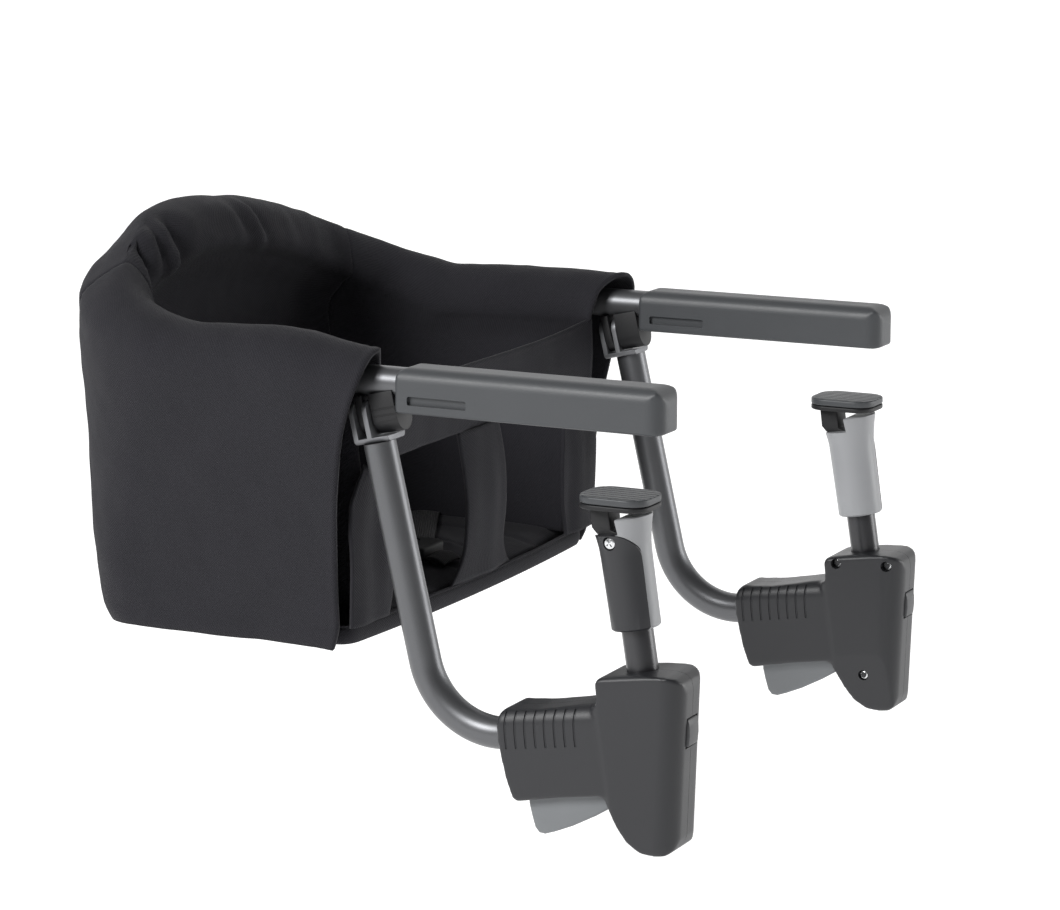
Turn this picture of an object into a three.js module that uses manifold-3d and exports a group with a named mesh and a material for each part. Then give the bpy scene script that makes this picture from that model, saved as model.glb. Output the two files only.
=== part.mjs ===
// Hook-on table chair: a fabric seat on a bent tube frame, with two arms above the table
// and two folding arms below it that clamp against the underside.
// Millimetres, +X towards the table, +Y to the child's left, +Z up. The origin lies on the
// middle plane, at table top height, where the grips begin.

import * as THREE from 'three';
import { mergeVertices } from 'three/addons/utils/BufferGeometryUtils.js';
import Module from 'manifold-3d';

const wasm = await Module();
wasm.setup();

// Clearances and shared values
const clearance = 0.3;
const overrun = 5;
const roundSteps = 2;
const planSteps = 4;
const screwSides = 10;

// Frame tube: two arms and a hoop round the back
const armHalfSpacing = 170;
const tubeRadius = 9.4;
const tubeHeight = 15.8;
const hoopBack = 235;
const hoopCornerRadius = 70;
const hoopRise = 54;
const riseStart = 140;
const riseSharpness = 1.3;
const tubeSides = 12;
const tubeDetail = 10;
const wallDetail = 8;

// Flattened tongues at the tube's ends, inside the grips
const tubeEntry = 3;
const tongueLength = 156;
const tongueWidth = 20;
const tongueThickness = 11;
const tongueHeight = 14.4;
const tongueRadius = 3;

// Grips on the table
const gripLength = 172.5;
const gripWidth = 30;
const gripHeight = 27;
const gripTopRadius = 9;
const gripNoseRadius = 11.5;
const gripHeelRadius = 8;
const gripSmallRadius = 1.5;
const gripSlotStart = 8.5;
const gripSlotLength = 39.1;
const gripSlotHeight = 5.3;
const gripSlotRise = 5.5;
const gripSlotDepth = 2.5;

// Fold hinge: its pin crosses the lower arm square
const armLean = THREE.MathUtils.degToRad(12.9);
const hingePinBack = 25;
const hingePinDrop = 8;
const pinRadius = 3;
const pinHeadRadius = 4.5;
const pinHeadThickness = 1.5;
const knuckleThickness = 5.4;
const knuckleRear = 2.3;
const knuckleHalfWidth = 9.5;
const knuckleTop = 19;
const knuckleSides = 24;
const forkPlate = 3.2;
const forkOuterHalf = 13;
const forkInnerHalf = 8;
const forkTop = 12;
const forkCorner = 7;
const forkFootRadius = 3;
const forkBottom = 13.5;
const forkWeb = 3.2;
const forkWebLength = 23.6;
const bumperLength = 16.6;
const bumperGap = 1;

// Lower arm: straight shank, a wide bend and a stub inside the handle
const armRadius = 9.8;
const armOffset = 7.4;
const armOutset = 6;
const shankLength = 133.5;
const armBendRadius = 49.5;
const armBendAngle = THREE.MathUtils.degToRad(86);
const armStub = 50;
const armSides = 12;
const armBendSteps = 12;

// The clamp frame's origin: so far along the stub, and so far above its middle
const clampAhead = 19;
const clampAbove = 1.9;

// Clamp housing, in the clamp frame: its outline is shares of its length and height
const housingLength = 122.2;
const housingHeight = 108;
const housingRear = 17.2;
const housingDrop = 74.6;
const housingWidth = 39;
const housingWall = 2.6;
const housingEdge = 3.5;
const housingFrontRadius = 10;
const housingRearRadius = 6;
const noseInnerHalf = 13.5;
const noseTaperTop = -34;
const bodyRear = 46;
const handleWidth = 38;
const handleTopRadius = 12;
const handleFootRadius = 5;
const handleTop = 17.2;
const handleFoot = 39.6;
const handleEnd = 56;
const ribThickness = 3;
const frontRib = 22;
const rearRib = 2;
const housingOutlineShares = [
  [0.006, 0.762], [0, 0.67], [0.007, 0.559], [0.016, 0.453], [0.036, 0.351], [0.055, 0.325],
  [0.132, 0.333], [0.269, 0.343], [0.499, 0.345], [0.521, 0.324], [0.542, 0.268], [0.573, 0.176],
  [0.614, 0.089], [0.675, 0.03], [0.75, 0.007], [0.815, 0], [0.845, 0.013], [0.856, 0.047], [1, 0.882],
  [0.997, 0.931], [0.974, 0.961], [0.931, 0.98], [0.819, 0.995], [0.714, 1], [0.616, 0.998],
  [0.576, 0.989], [0.563, 0.96], [0.56, 0.87], [0.555, 0.846], [0.444, 0.843], [0.345, 0.835],
  [0.215, 0.829], [0.1, 0.836], [0.063, 0.844], [0.041, 0.838], [0.018, 0.814],
];

// Clamp rod and what works on it
const rodRadius = 9.3;
const rodOffset = 74.45;
const rodBottom = 25;
const rodTop = 38.2;
const rodGuideHeight = -4;
const rodGuideHalf = 13;
const lockPlateHeight = 18;
const lockPlateThickness = 3;
const lockPlateLength = 28;
const lockPlateWidth = 27;

// Trigger under the handle
const triggerPivotX = 44.2;
const triggerPivotZ = -30.7;
const triggerWidth = 24;
const triggerSlotStart = -8.7;
const triggerSlotEnd = 51;
const triggerSlotTop = -14;
const triggerLength = 56.5;
const triggerDepth = 36.4;
const triggerBack = 50.3;
const triggerDrop = 30.2;
const triggerPinRadius = 2.5;
const triggerPinLength = 31;
const triggerBossRadius = 5.4;
const triggerSpringRadius = 4.5;
const triggerSpringLength = 5;
const triggerOutlineShares = [
  [0.012, 0.684], [0, 0.519], [0.011, 0.327], [0.03, 0.121], [0.069, 0.025], [0.135, 0], [0.25, 0.033],
  [0.469, 0.121], [0.752, 0.277], [0.945, 0.407], [0.986, 0.602], [1, 0.821], [0.968, 0.951],
  [0.89, 1], [0.789, 0.918],
];

// Release button in the front wall, which leans back by the front lean
const frontTopX = housingLength - housingRear;
const frontTopZ = 21;
const frontLeanShare = 0.1945;
const buttonTop = 6.4;
const buttonBottom = -12.4;
const buttonWidth = 16;
const buttonProud = 1.6;
const buttonDepth = 8;
const buttonFlange = 3;
const buttonFlangeThickness = 2.3;

// Housing screws, driven from the side that faces the middle plane
const housingScrewPlaces = { rearTop: [60.4, 28.4], frontTop: [95.3, 24.4], nose: [68.6, -48.1] };
const screwPostRadius = 4.5;
const screwHeadRadius = 3.1;
const screwHeadThickness = 2.4;
const screwRadius = 1.5;
const screwLength = 22;
const screwRecess = 3;

// Foot on the rod, in a frame at the sleeve's lower end
const sleeveBottom = 58;
const sleeveRadius = 14.3;
const sleeveStraight = 43;
const sleeveStraightRadius = 14.8;
const sleeveNeckHeight = 54;
const sleeveNeckRadius = 15.8;
const sleeveTop = 66;
const sleeveTopRadius = 18.3;
const sleeveSides = 20;
const coverEdge = 7.4;
const coverTop = 56.5;
const coverShoulder = 11;
const pivotBack = 3;
const pivotHeight = 52.2;
const lugHalfWidth = 7.5;
const lugGap = 0.4;
const lugPocketFloor = 45.5;
const lugPocketFront = 3.6;
const earLedge = 56.8;
const footScrewRadius = 2;
const footScrewHeadRadius = 3.5;
const footScrewHeadThickness = 1.8;
const footScrewSeat = 11.2;
const footScrewTip = 12;
const headPlateRise = 19.1;
const headPlateThickness = 3;
const headLength = 44;
const headWidth = 36;
const headBack = 22;
const headCornerRadius = 12;
const padThickness = 4.4;
const earLength = 20.9;
const earHeight = 24.7;
const earBack = 16.4;
const earFoot = 4.9;
const earOutlineShares = [
  [0, 1], [0.077, 0.47], [0.206, 0.352], [0.368, 0.235], [0.545, 0.077], [0.679, 0.012], [0.809, 0],
  [0.928, 0.045], [1, 0.158], [1, 0.279], [0.856, 0.401], [0.66, 0.449], [0.593, 0.866], [0.584, 1],
];

// Fabric walls: rings of one section, from the outer hem over the tube and down inside.
// Each ring has how far it stands outside the hoop at the sides, at the back and in its corner
// radius, its height, share of the hoop's rise, share of the pucker depth and front end.
const fabricThickness = 4;
const rollRadius = 21;
const innerFront = 44.2;
const wallRings = [
  { out: -1, behind: -16, round: -40, height: -151.2, rise: 0, pucker: 0, front: -50 },
  { out: 1.5, behind: -7, round: -34, height: -138, rise: 0, pucker: 0, front: -45.5 },
  { out: 4.5, behind: 2, round: -26, height: -106, rise: 0, pucker: 0, front: -44.5 },
  { out: 10, behind: 8, round: -10, height: -60, rise: 0.1, pucker: 0, front: -41 },
  { out: 16, behind: 14, round: 6, height: -20, rise: 0.35, pucker: 0, front: -36 },
  { out: 20, behind: 19, round: 18, height: 3, rise: 0.75, pucker: 0, front: -28.8 },
  { out: 21, behind: 21, round: 21, height: 17.4, rise: 1, pucker: 0, front: -22.5 },
  { out: 19, behind: 19, round: 17, height: 26, rise: 1, pucker: 0, front: -19.5 },
  { out: 14, behind: 14, round: 12, height: 33, rise: 1, pucker: 0, front: -18 },
  { out: 7, behind: 7, round: 6, height: 37.2, rise: 1, pucker: 0.1, front: -18 },
  { out: 0, behind: 0, round: 0, height: 38.4, rise: 1, pucker: 0.3, front: -18 },
  { out: -8, behind: -8, round: -8, height: 36.8, rise: 1, pucker: 0.6, front: -22.3 },
  { out: -16, behind: -16, round: -15, height: 31, rise: 1, pucker: 1, front: -27 },
  { out: -20.2, behind: -20, round: -18, height: 21, rise: 1, pucker: 1, front: -29.6 },
  { out: -20.6, behind: -20.5, round: -18, height: 12, rise: 1, pucker: 0.8, front: -32 },
  { out: -19, behind: -18, round: -16, height: 5, rise: 0.95, pucker: 0.3, front: -38 },
  { out: -17, behind: -15, round: -14, height: -14, rise: 0.8, pucker: 0, front: -innerFront },
  { out: -22, behind: -21, round: -18, height: -60, rise: 0.35, pucker: 0, front: -innerFront },
  { out: -30, behind: -30, round: -24, height: -105, rise: 0.1, pucker: 0, front: -innerFront },
  { out: -37, behind: -38, round: -30, height: -137.8, rise: 0, pucker: 0, front: -innerFront },
];
const seamPlace = 1.6;
const seamGap = 0.004;
const puckerDepth = 2.6;
const puckersPerCorner = 3;
const puckerStart = 1;
const puckerEnd = 2.5;
const paddingRadius = 15.8;
const paddingHeight = 17.4;
const paddingFront = -46;
const paddingGap = 1.2;
const paddingSides = 8;

// Base of the seat
const baseBottom = -151.2;
const hemHeight = 12.6;
const baseHalfWidth = armHalfSpacing - 5.4;
const baseBack = hoopBack - 20.4;
const baseCornerRadius = 26;
const baseFront = 44;
const baseFrontBow = 6;
const baseFrontRadius = 14;
const coverThickness = 1.6;
const boardThickness = 3;
const boardInset = 2.4;
const padInset = 2.4;
const padRim = 7;
const padRimWidth = 42;
const padCrown = 6.6;
const padCrownShares = [[0, 0.1], [0.07, 0.42], [0.2, 0.7], [0.5, 0.92], [1, 1]];
const padCrownWidth = 70;

// Front of the seat, between and above the leg openings
const bandTop = 0.5;
const bandHeight = 42;
const bandHalfWidth = armHalfSpacing - 20;
const bandThickness = 4;
const bandFront = -39.6;
const bandEdgeRadius = 4;
const crotchHalfWidth = 28.5;
const crotchFlare = 14;
const crotchFlareHeight = 24;
const crotchThickness = 4;
const crotchTopX = -42;
const crotchFootX = -40.2;
const crotchBulge = 5;
const crotchSteps = 8;

// Gussets between the walls and the leg openings: share of height, inner and outer edge
// as shares of the width
const gussetWidth = 57;
const gussetInner = armHalfSpacing - 52;
const gussetShares = [
  [0, 0.15, 0.88], [0.25, 0.03, 0.91], [0.51, 0, 0.935], [0.76, 0.08, 0.955], [0.92, 0.26, 0.965],
  [1, 0.51, 0.97],
];

// Child harness lying on the cushion
const webbingWidth = 25;
const webbingThickness = 1.8;
const buckleLength = 46;
const buckleWidth = 36;
const buckleThickness = 11;
const buckleRadius = 6;
const harnessPlace = -96;
const crotchWebbingRoot = -60;
const waistRootX = -150;
const waistRootY = 130;
const harnessLift = 0.4;

// Materials
const steel = { color: 0x77797c, roughness: 0.42, metalness: 0.85 };
const paleSteel = { color: 0x9b9da0, roughness: 0.38, metalness: 0.8 };
const bareSteel = { color: 0xb9bbbd, roughness: 0.3, metalness: 1 };
const darkPlastic = { color: 0x3d3e41, roughness: 0.55, metalness: 0 };
const blackPlastic = { color: 0x232427, roughness: 0.5, metalness: 0 };
const palePlastic = { color: 0x85898c, roughness: 0.45, metalness: 0 };
const gripRubber = { color: 0x4a4b4f, roughness: 0.7, metalness: 0 };
const fabric = { color: 0x2c2c30, roughness: 0.95, metalness: 0 };
const webbing = { color: 0x1d1d20, roughness: 0.9, metalness: 0 };
const foam = { color: 0x55565a, roughness: 1, metalness: 0 };
const board = { color: 0x6b5a44, roughness: 0.8, metalness: 0 };

// Solids
function solidOf(geometry) {
  const bare = geometry.clone();
  bare.deleteAttribute('normal');
  bare.deleteAttribute('uv');
  const merged = mergeVertices(bare);
  const corners = merged.index.array;
  const kept = [];
  for (let i = 0; i < corners.length; i += 3) {
    const [a, b, c] = [corners[i], corners[i + 1], corners[i + 2]];
    if (a !== b && b !== c && c !== a) kept.push(a, b, c);
  }
  const vertProperties = new Float32Array(merged.attributes.position.array);
  return new wasm.Manifold(new wasm.Mesh({ numProp: 3, vertProperties, triVerts: new Uint32Array(kept) }));
}

function geometryOf(solid) {
  const mesh = solid.getMesh();
  const geometry = new THREE.BufferGeometry();
  geometry.setAttribute('position', new THREE.BufferAttribute(mesh.vertProperties, mesh.numProp));
  geometry.setIndex(new THREE.BufferAttribute(mesh.triVerts, 1));
  geometry.computeVertexNormals();
  return geometry;
}

function mirrored(geometry) {
  const copy = geometry.clone().scale(1, -1, 1);
  const corners = copy.index.array;
  for (let i = 0; i < corners.length; i += 3) {
    const swapped = corners[i];
    corners[i] = corners[i + 1];
    corners[i + 1] = swapped;
  }
  copy.computeVertexNormals();
  return copy;
}

// Simple shapes, each a solid
function box(xs, ys, zs) {
  const geometry = new THREE.BoxGeometry(xs[1] - xs[0], ys[1] - ys[0], zs[1] - zs[0]);
  geometry.translate((xs[0] + xs[1]) / 2, (ys[0] + ys[1]) / 2, (zs[0] + zs[1]) / 2);
  return solidOf(geometry);
}

function rodAlongY(x, z, radius, ys, sides) {
  const geometry = new THREE.CylinderGeometry(radius, radius, ys[1] - ys[0], sides);
  geometry.translate(x, (ys[0] + ys[1]) / 2, z);
  return solidOf(geometry);
}

function rodAlongX(y, z, radius, xs, sides) {
  const geometry = new THREE.CylinderGeometry(radius, radius, xs[1] - xs[0], sides);
  geometry.rotateZ(-Math.PI / 2).translate((xs[0] + xs[1]) / 2, y, z);
  return solidOf(geometry);
}

function rodAlongZ(x, y, radius, zs, sides) {
  const geometry = new THREE.CylinderGeometry(radius, radius, zs[1] - zs[0], sides);
  geometry.rotateX(Math.PI / 2).translate(x, y, (zs[0] + zs[1]) / 2);
  return solidOf(geometry);
}

// A rectangle with its own radius at each corner, given from the low corner anticlockwise
function roundedRectangle(us, vs, radii) {
  const shape = new THREE.Shape();
  const [lowLow, highLow, highHigh, lowHigh] = radii;
  shape.moveTo(us[0] + lowLow, vs[0]);
  shape.lineTo(us[1] - highLow, vs[0]);
  shape.absarc(us[1] - highLow, vs[0] + highLow, highLow, -Math.PI / 2, 0);
  shape.lineTo(us[1], vs[1] - highHigh);
  shape.absarc(us[1] - highHigh, vs[1] - highHigh, highHigh, 0, Math.PI / 2);
  shape.lineTo(us[0] + lowHigh, vs[1]);
  shape.absarc(us[0] + lowHigh, vs[1] - lowHigh, lowHigh, Math.PI / 2, Math.PI);
  shape.lineTo(us[0], vs[0] + lowLow);
  shape.absarc(us[0] + lowLow, vs[0] + lowLow, lowLow, Math.PI, Math.PI * 1.5);
  return shape;
}

function extruded(shape, length) {
  return new THREE.ExtrudeGeometry(shape, { depth: length, bevelEnabled: false, curveSegments: roundSteps });
}

// A shape drawn in (x, z) and carried along Y, in (y, z) along X, or in (x, y) along Z
const alongY = (shape, ys) => {
  return solidOf(extruded(shape, ys[1] - ys[0]).rotateX(Math.PI / 2).translate(0, ys[1], 0));
};
const alongX = (shape, xs) => {
  const geometry = extruded(shape, xs[1] - xs[0]).rotateX(Math.PI / 2).rotateZ(Math.PI / 2);
  return solidOf(geometry.translate(xs[0], 0, 0));
};
const alongZ = (shape, zs) => solidOf(extruded(shape, zs[1] - zs[0]).translate(0, 0, zs[0]));

const polygon = (points) => new THREE.Shape(points.map(([u, v]) => new THREE.Vector2(u, v)));

// An outline of shares laid over a rectangle
function outline(shares, corner, size) {
  return shares.map(([u, v]) => [corner[0] + u * size[0], corner[1] + v * size[1]]);
}

// The same outline drawn in by a wall's thickness, for one that runs anticlockwise
function insetOutline(points, wall) {
  return points.map((point, i) => {
    const before = new THREE.Vector2(...points[(i + points.length - 1) % points.length]);
    const here = new THREE.Vector2(...point);
    const after = new THREE.Vector2(...points[(i + 1) % points.length]);
    const arriving = here.clone().sub(before).normalize();
    const leaving = after.clone().sub(here).normalize();
    const inward = new THREE.Vector2(-arriving.y - leaving.y, arriving.x + leaving.x).normalize();
    const miter = wall / Math.max(inward.dot(new THREE.Vector2(-arriving.y, arriving.x)), 0.5);
    return [here.x + inward.x * miter, here.y + inward.y * miter];
  });
}

// A solid of revolution about Z from [radius, height] pairs
function turned(profile, sides) {
  const points = profile.map(([radius, height]) => new THREE.Vector2(radius, height));
  return solidOf(new THREE.LatheGeometry(points, sides).rotateX(Math.PI / 2));
}

// Frame tube path: u runs 0 to 6, in thirds of each half: side, corner, back
function planPoint(ring, u) {
  if (u > 3) {
    const twin = planPoint(ring, 6 - u);
    return [twin[0], -twin[1]];
  }
  const cornerX = -ring.back + ring.corner;
  const cornerY = -ring.half + ring.corner;
  if (u <= 1) return [THREE.MathUtils.lerp(ring.front, cornerX, u), -ring.half];
  if (u <= 2) {
    const turn = (u - 1) * Math.PI / 2;
    return [cornerX - ring.corner * Math.sin(turn), cornerY - ring.corner * Math.cos(turn)];
  }
  return [-ring.back, THREE.MathUtils.lerp(cornerY, 0, u - 2)];
}

const tubeRing = { half: armHalfSpacing, back: hoopBack, corner: hoopCornerRadius, front: tubeEntry };

// How far the hoop has risen at u, from its length along the tube
function hoopLift(u) {
  const half = u > 3 ? 6 - u : u;
  const cornerStart = hoopBack - hoopCornerRadius;
  const straight = cornerStart - riseStart;
  const arc = hoopCornerRadius * Math.PI / 2;
  const backHalf = armHalfSpacing - hoopCornerRadius;
  let travelled = straight + arc + (half - 2) * backHalf;
  if (half <= 2) travelled = straight + (half - 1) * arc;
  if (half <= 1) travelled = -planPoint(tubeRing, half)[0] - riseStart;
  const share = Math.max(travelled, 0) / (straight + arc + backHalf);
  return hoopRise * Math.sin(share * Math.PI / 2) ** riseSharpness;
}

// Places along the path: few on the straights, close together where it bends
function hoopPlaces(start, end, detail) {
  const half = [0, riseStart / (hoopBack - hoopCornerRadius), 1];
  for (let i = 1; i <= detail; i += 1) half.push(1 + i / detail);
  for (let i = 2; i <= detail; i += 2) half.push(2 + i / detail);
  const other = half.slice(0, -1).reverse().map((u) => 6 - u);
  const inside = [...half, ...other].filter((u) => u > start + seamGap * 2 && u < end - seamGap * 2);
  return [start, ...inside, end];
}

class HoopPath extends THREE.Curve {
  constructor() {
    super();
    this.places = hoopPlaces(0, 6, tubeDetail);
  }

  getUtoTmapping(share) {
    return share;
  }

  getPoint(t) {
    const place = t * (this.places.length - 1);
    const step = Math.min(Math.floor(place), this.places.length - 2);
    const u = THREE.MathUtils.lerp(this.places[step], this.places[step + 1], place - step);
    const [x, y] = planPoint(tubeRing, u);
    return new THREE.Vector3(x, y, tubeHeight + hoopLift(u));
  }
}

function sweptRound(path, radius, steps, sides) {
  const section = new THREE.Shape();
  section.absarc(0, 0, radius, 0, Math.PI * 2);
  const options = { steps, curveSegments: sides / 2, extrudePath: path };
  return solidOf(new THREE.ExtrudeGeometry(section, options));
}

function hoopSolid(radius, sides) {
  const path = new HoopPath();
  return sweptRound(path, radius, path.places.length - 1, sides);
}

function frameTube() {
  let solid = hoopSolid(tubeRadius, tubeSides);
  for (const side of [-1, 1]) solid = solid.add(tongue(side, 0));
  return solid;
}

function tongue(side, gap) {
  const middle = side * armHalfSpacing;
  const ys = [middle - tongueWidth / 2 - gap, middle + tongueWidth / 2 + gap];
  const zs = [tongueHeight - tongueThickness / 2 - gap, tongueHeight + tongueThickness / 2 + gap];
  const radii = Array(4).fill(tongueRadius);
  return alongX(roundedRectangle(ys, zs, radii), [clearance - gap, tongueLength + gap]);
}

// Grips
function grip(side) {
  const middle = side * armHalfSpacing;
  const ys = [middle - gripWidth / 2, middle + gripWidth / 2];
  const zs = [0, gripHeight];
  const small = gripSmallRadius;
  const section = roundedRectangle(ys, zs, [small, small, gripTopRadius, gripTopRadius]);
  const plan = roundedRectangle([0, gripLength], ys, [small, gripNoseRadius, gripNoseRadius, small]);
  const profile = roundedRectangle([0, gripLength], zs, [small, small, gripNoseRadius, gripHeelRadius]);
  let solid = alongX(section, [0, gripLength]);
  solid = solid.intersect(alongZ(plan, [-overrun, gripHeight + overrun]));
  solid = solid.intersect(alongY(profile, [ys[0] - overrun, ys[1] + overrun]));
  solid = solid.subtract(tongue(side, clearance));
  const mouth = [-overrun, tubeEntry + clearance];
  solid = solid.subtract(rodAlongX(middle, tubeHeight, tubeRadius + clearance, mouth, tubeSides * 2));
  const slotX = [gripSlotStart, gripSlotStart + gripSlotLength];
  const slotZ = [gripSlotRise, gripSlotRise + gripSlotHeight];
  const slot = roundedRectangle(slotX, slotZ, Array(4).fill(small));
  solid = solid.subtract(alongY(slot, [ys[0] - overrun, ys[0] + gripSlotDepth]));
  return solid.subtract(alongY(slot, [ys[1] - gripSlotDepth, ys[1] + overrun]));
}

// Hinge pieces, in the hinge frame: origin on the pin, X along it, Z up the lower arm
function armTubeInHinge(radius) {
  const length = gripLength;
  const geometry = new THREE.CylinderGeometry(radius, radius, length, tubeSides * 2).rotateZ(Math.PI / 2);
  geometry.translate(0, 0, tubeHeight + hingePinDrop).rotateY(armLean);
  return solidOf(geometry);
}

const pinHole = (xs) => rodAlongX(0, 0, pinRadius + clearance, xs, screwSides * 2);

// A block that hangs from the upper tube, round about the pin so that the fork can turn
function saddle(xs) {
  const upright = box(xs, [-knuckleHalfWidth, knuckleHalfWidth], [0, knuckleTop]);
  const solid = upright.add(rodAlongX(0, 0, knuckleHalfWidth, xs, knuckleSides));
  return solid.subtract(armTubeInHinge(tubeRadius + clearance));
}

function hingeBlock() {
  const xs = [-knuckleRear, knuckleThickness - knuckleRear];
  return saddle(xs).subtract(pinHole([-hingePinBack, hingePinBack]));
}

const forkRear = knuckleRear + clearance + forkPlate;
const forkFront = knuckleThickness - knuckleRear + clearance + forkPlate;

function hingeFork() {
  const sides = [-forkOuterHalf, forkInnerHalf];
  const radii = [forkFootRadius, forkFootRadius, forkCorner, forkCorner];
  const plate = roundedRectangle(sides, [-forkBottom, forkTop], radii);
  let solid = alongX(plate, [-forkRear, -forkRear + forkPlate]);
  solid = solid.add(alongX(plate, [forkFront - forkPlate, forkFront]));
  const reach = [-forkRear, -forkRear + forkWebLength];
  const web = box(reach, sides, [-forkBottom, -forkBottom + forkWeb]);
  solid = solid.add(web.intersect(alongX(plate, reach)));
  return solid.subtract(pinHole([-hingePinBack, hingePinBack]));
}

function hingePin() {
  const reach = [-forkRear - pinHeadThickness, forkFront + clearance];
  const solid = rodAlongX(0, 0, pinRadius, reach, screwSides);
  const head = [-forkRear - clearance - pinHeadThickness, -forkRear - clearance];
  return solid.add(rodAlongX(0, 0, pinHeadRadius, head, screwSides));
}

function tableBumper() {
  const start = forkFront + bumperGap;
  return saddle([start, start + bumperLength]);
}

// Lower arm, in the hinge frame
class ArmPath extends THREE.Curve {
  getUtoTmapping(share) {
    return share;
  }

  getPoint(t) {
    const place = t * (armBendSteps + 2);
    const above = Math.max(1 - place, 0) * shankLength;
    const bend = armBendPoint(THREE.MathUtils.clamp((place - 1) / armBendSteps, 0, 1) * armBendAngle);
    const beyond = Math.max(place - 1 - armBendSteps, 0) * armStub;
    const x = bend.x + beyond * Math.sin(armBendAngle);
    const z = bend.z + above - beyond * Math.cos(armBendAngle);
    return new THREE.Vector3(x, -armOutset, z);
  }
}

function armBendPoint(turn) {
  const x = armOffset + armBendRadius * (1 - Math.cos(turn));
  const z = -forkBottom - clearance - shankLength - armBendRadius * Math.sin(turn);
  return { x, z };
}

const lowerArm = (radius) => sweptRound(new ArmPath(), radius, armBendSteps + 2, armSides);
const bendEnd = armBendPoint(armBendAngle);
const clampTurn = Math.PI / 2 - armBendAngle;
const clampX = bendEnd.x + clampAhead * Math.cos(clampTurn) + clampAbove * Math.sin(clampTurn);
const clampZ = bendEnd.z - clampAhead * Math.sin(clampTurn) + clampAbove * Math.cos(clampTurn);

// The lower arm seen from the clamp frame: origin at the bend's end, X along the stub
function armInClamp(radius) {
  const geometry = geometryOf(lowerArm(radius));
  geometry.translate(-bendEnd.x, armOutset, -bendEnd.z).rotateY(-clampTurn);
  return solidOf(geometry.translate(-clampAhead, 0, -clampAbove));
}

// Clamp housing
const housingCorner = [-housingRear, -housingDrop];
const housingSize = [housingLength, housingHeight];
const housingOutline = outline(housingOutlineShares, housingCorner, housingSize);

function housingBlank(inset) {
  const half = housingWidth / 2 - inset;
  const profile = polygon(inset > 0 ? insetOutline(housingOutline, inset) : housingOutline);
  const side = alongY(profile, [-half, half]);
  const front = housingLength - housingRear - inset;
  const rear = Math.max(housingRearRadius - inset, 1);
  const nose = Math.max(housingFrontRadius - inset, 1);
  const plan = roundedRectangle([bodyRear + inset, front], [-half, half], [rear, nose, nose, rear]);
  const body = side.intersect(alongZ(plan, [-housingHeight, housingHeight])).intersect(bodySection(inset));
  const handleHalf = handleWidth / 2 - inset;
  const top = handleTopRadius - inset;
  const foot = handleFootRadius - inset;
  const handleZ = [-handleFoot + inset, handleTop - inset];
  const section = roundedRectangle([-handleHalf, handleHalf], handleZ, [foot, foot, top, top]);
  const handle = side.intersect(alongX(section, [-housingLength, handleEnd]));
  return body.add(handle);
}

// The body seen from the front: chamfered edges, and a nose that thins on its inner face
function bodySection(inset) {
  const half = housingWidth / 2 - inset;
  const thin = noseInnerHalf - inset;
  const low = -housingDrop + inset;
  const high = housingHeight - housingDrop - inset;
  const edge = housingEdge;
  const points = [
    [-half + edge, low], [thin - edge, low], [thin, low + edge], [half, noseTaperTop], [half, high - edge],
    [half - edge, high], [-half + edge, high], [-half, high - edge], [-half, low + edge],
  ];
  return alongX(polygon(points), [-housingLength, housingLength * 2]);
}

function housingInside() {
  const reach = [-housingWidth, housingWidth];
  let hollow = housingBlank(housingWall);
  for (const [x, z] of Object.values(housingScrewPlaces)) {
    hollow = hollow.subtract(rodAlongY(x, z, screwPostRadius, reach, screwSides));
  }
  const tall = [-handleFoot - overrun, handleTop + overrun];
  for (const place of [rearRib, frontRib]) {
    hollow = hollow.subtract(box([place, place + ribThickness], reach, tall));
  }
  hollow = hollow.subtract(pivotRod(triggerBossRadius, reach));
  const guideX = [rodOffset - rodGuideHalf, rodOffset + rodGuideHalf];
  return hollow.subtract(box(guideX, reach, [rodGuideHeight, rodGuideHeight + ribThickness]));
}

function housing() {
  let solid = housingBlank(0).subtract(housingInside());
  solid = solid.subtract(armInClamp(armRadius + clearance));
  const bore = [-handleFoot, housingHeight];
  solid = solid.subtract(rodAlongZ(rodOffset, 0, rodRadius + clearance, bore, sleeveSides));
  const triggerHalf = triggerWidth / 2 + clearance * 2;
  const slotZ = [-housingHeight, triggerSlotTop];
  solid = solid.subtract(box([triggerSlotStart, triggerSlotEnd], [-triggerHalf, triggerHalf], slotZ));
  const pinHoleReach = triggerPinLength / 2 + clearance;
  solid = solid.subtract(pivotRod(triggerPinRadius + clearance, [-pinHoleReach, pinHoleReach]));
  const window = buttonWidth / 2 + clearance;
  const windowZ = [buttonBottom - clearance, buttonTop + clearance];
  solid = solid.subtract(box([rodOffset + rodGuideHalf, housingLength], [-window, window], windowZ));
  for (const [x, z] of Object.values(housingScrewPlaces)) {
    const tip = housingWidth / 2 - screwRecess - screwLength - clearance;
    solid = solid.subtract(rodAlongY(x, z, screwRadius + clearance, [tip, housingWidth], screwSides));
    const seat = housingWidth / 2 - screwRecess - screwHeadThickness - clearance;
    solid = solid.subtract(rodAlongY(x, z, screwHeadRadius + clearance, [seat, housingWidth], screwSides));
  }
  return solid;
}

function housingHalf(sign) {
  const reach = [clearance / 2, housingWidth];
  const ys = sign > 0 ? reach : [-reach[1], -reach[0]];
  return housing().intersect(box([-housingLength, housingLength * 2], ys, [-housingHeight, housingHeight]));
}

function housingScrew([x, z]) {
  const headTop = housingWidth / 2 - screwRecess;
  const headFoot = headTop - screwHeadThickness;
  const shank = rodAlongY(x, z, screwRadius, [headTop - screwLength, headTop], screwSides);
  return shank.add(rodAlongY(x, z, screwHeadRadius, [headFoot, headTop], screwSides));
}

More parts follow.
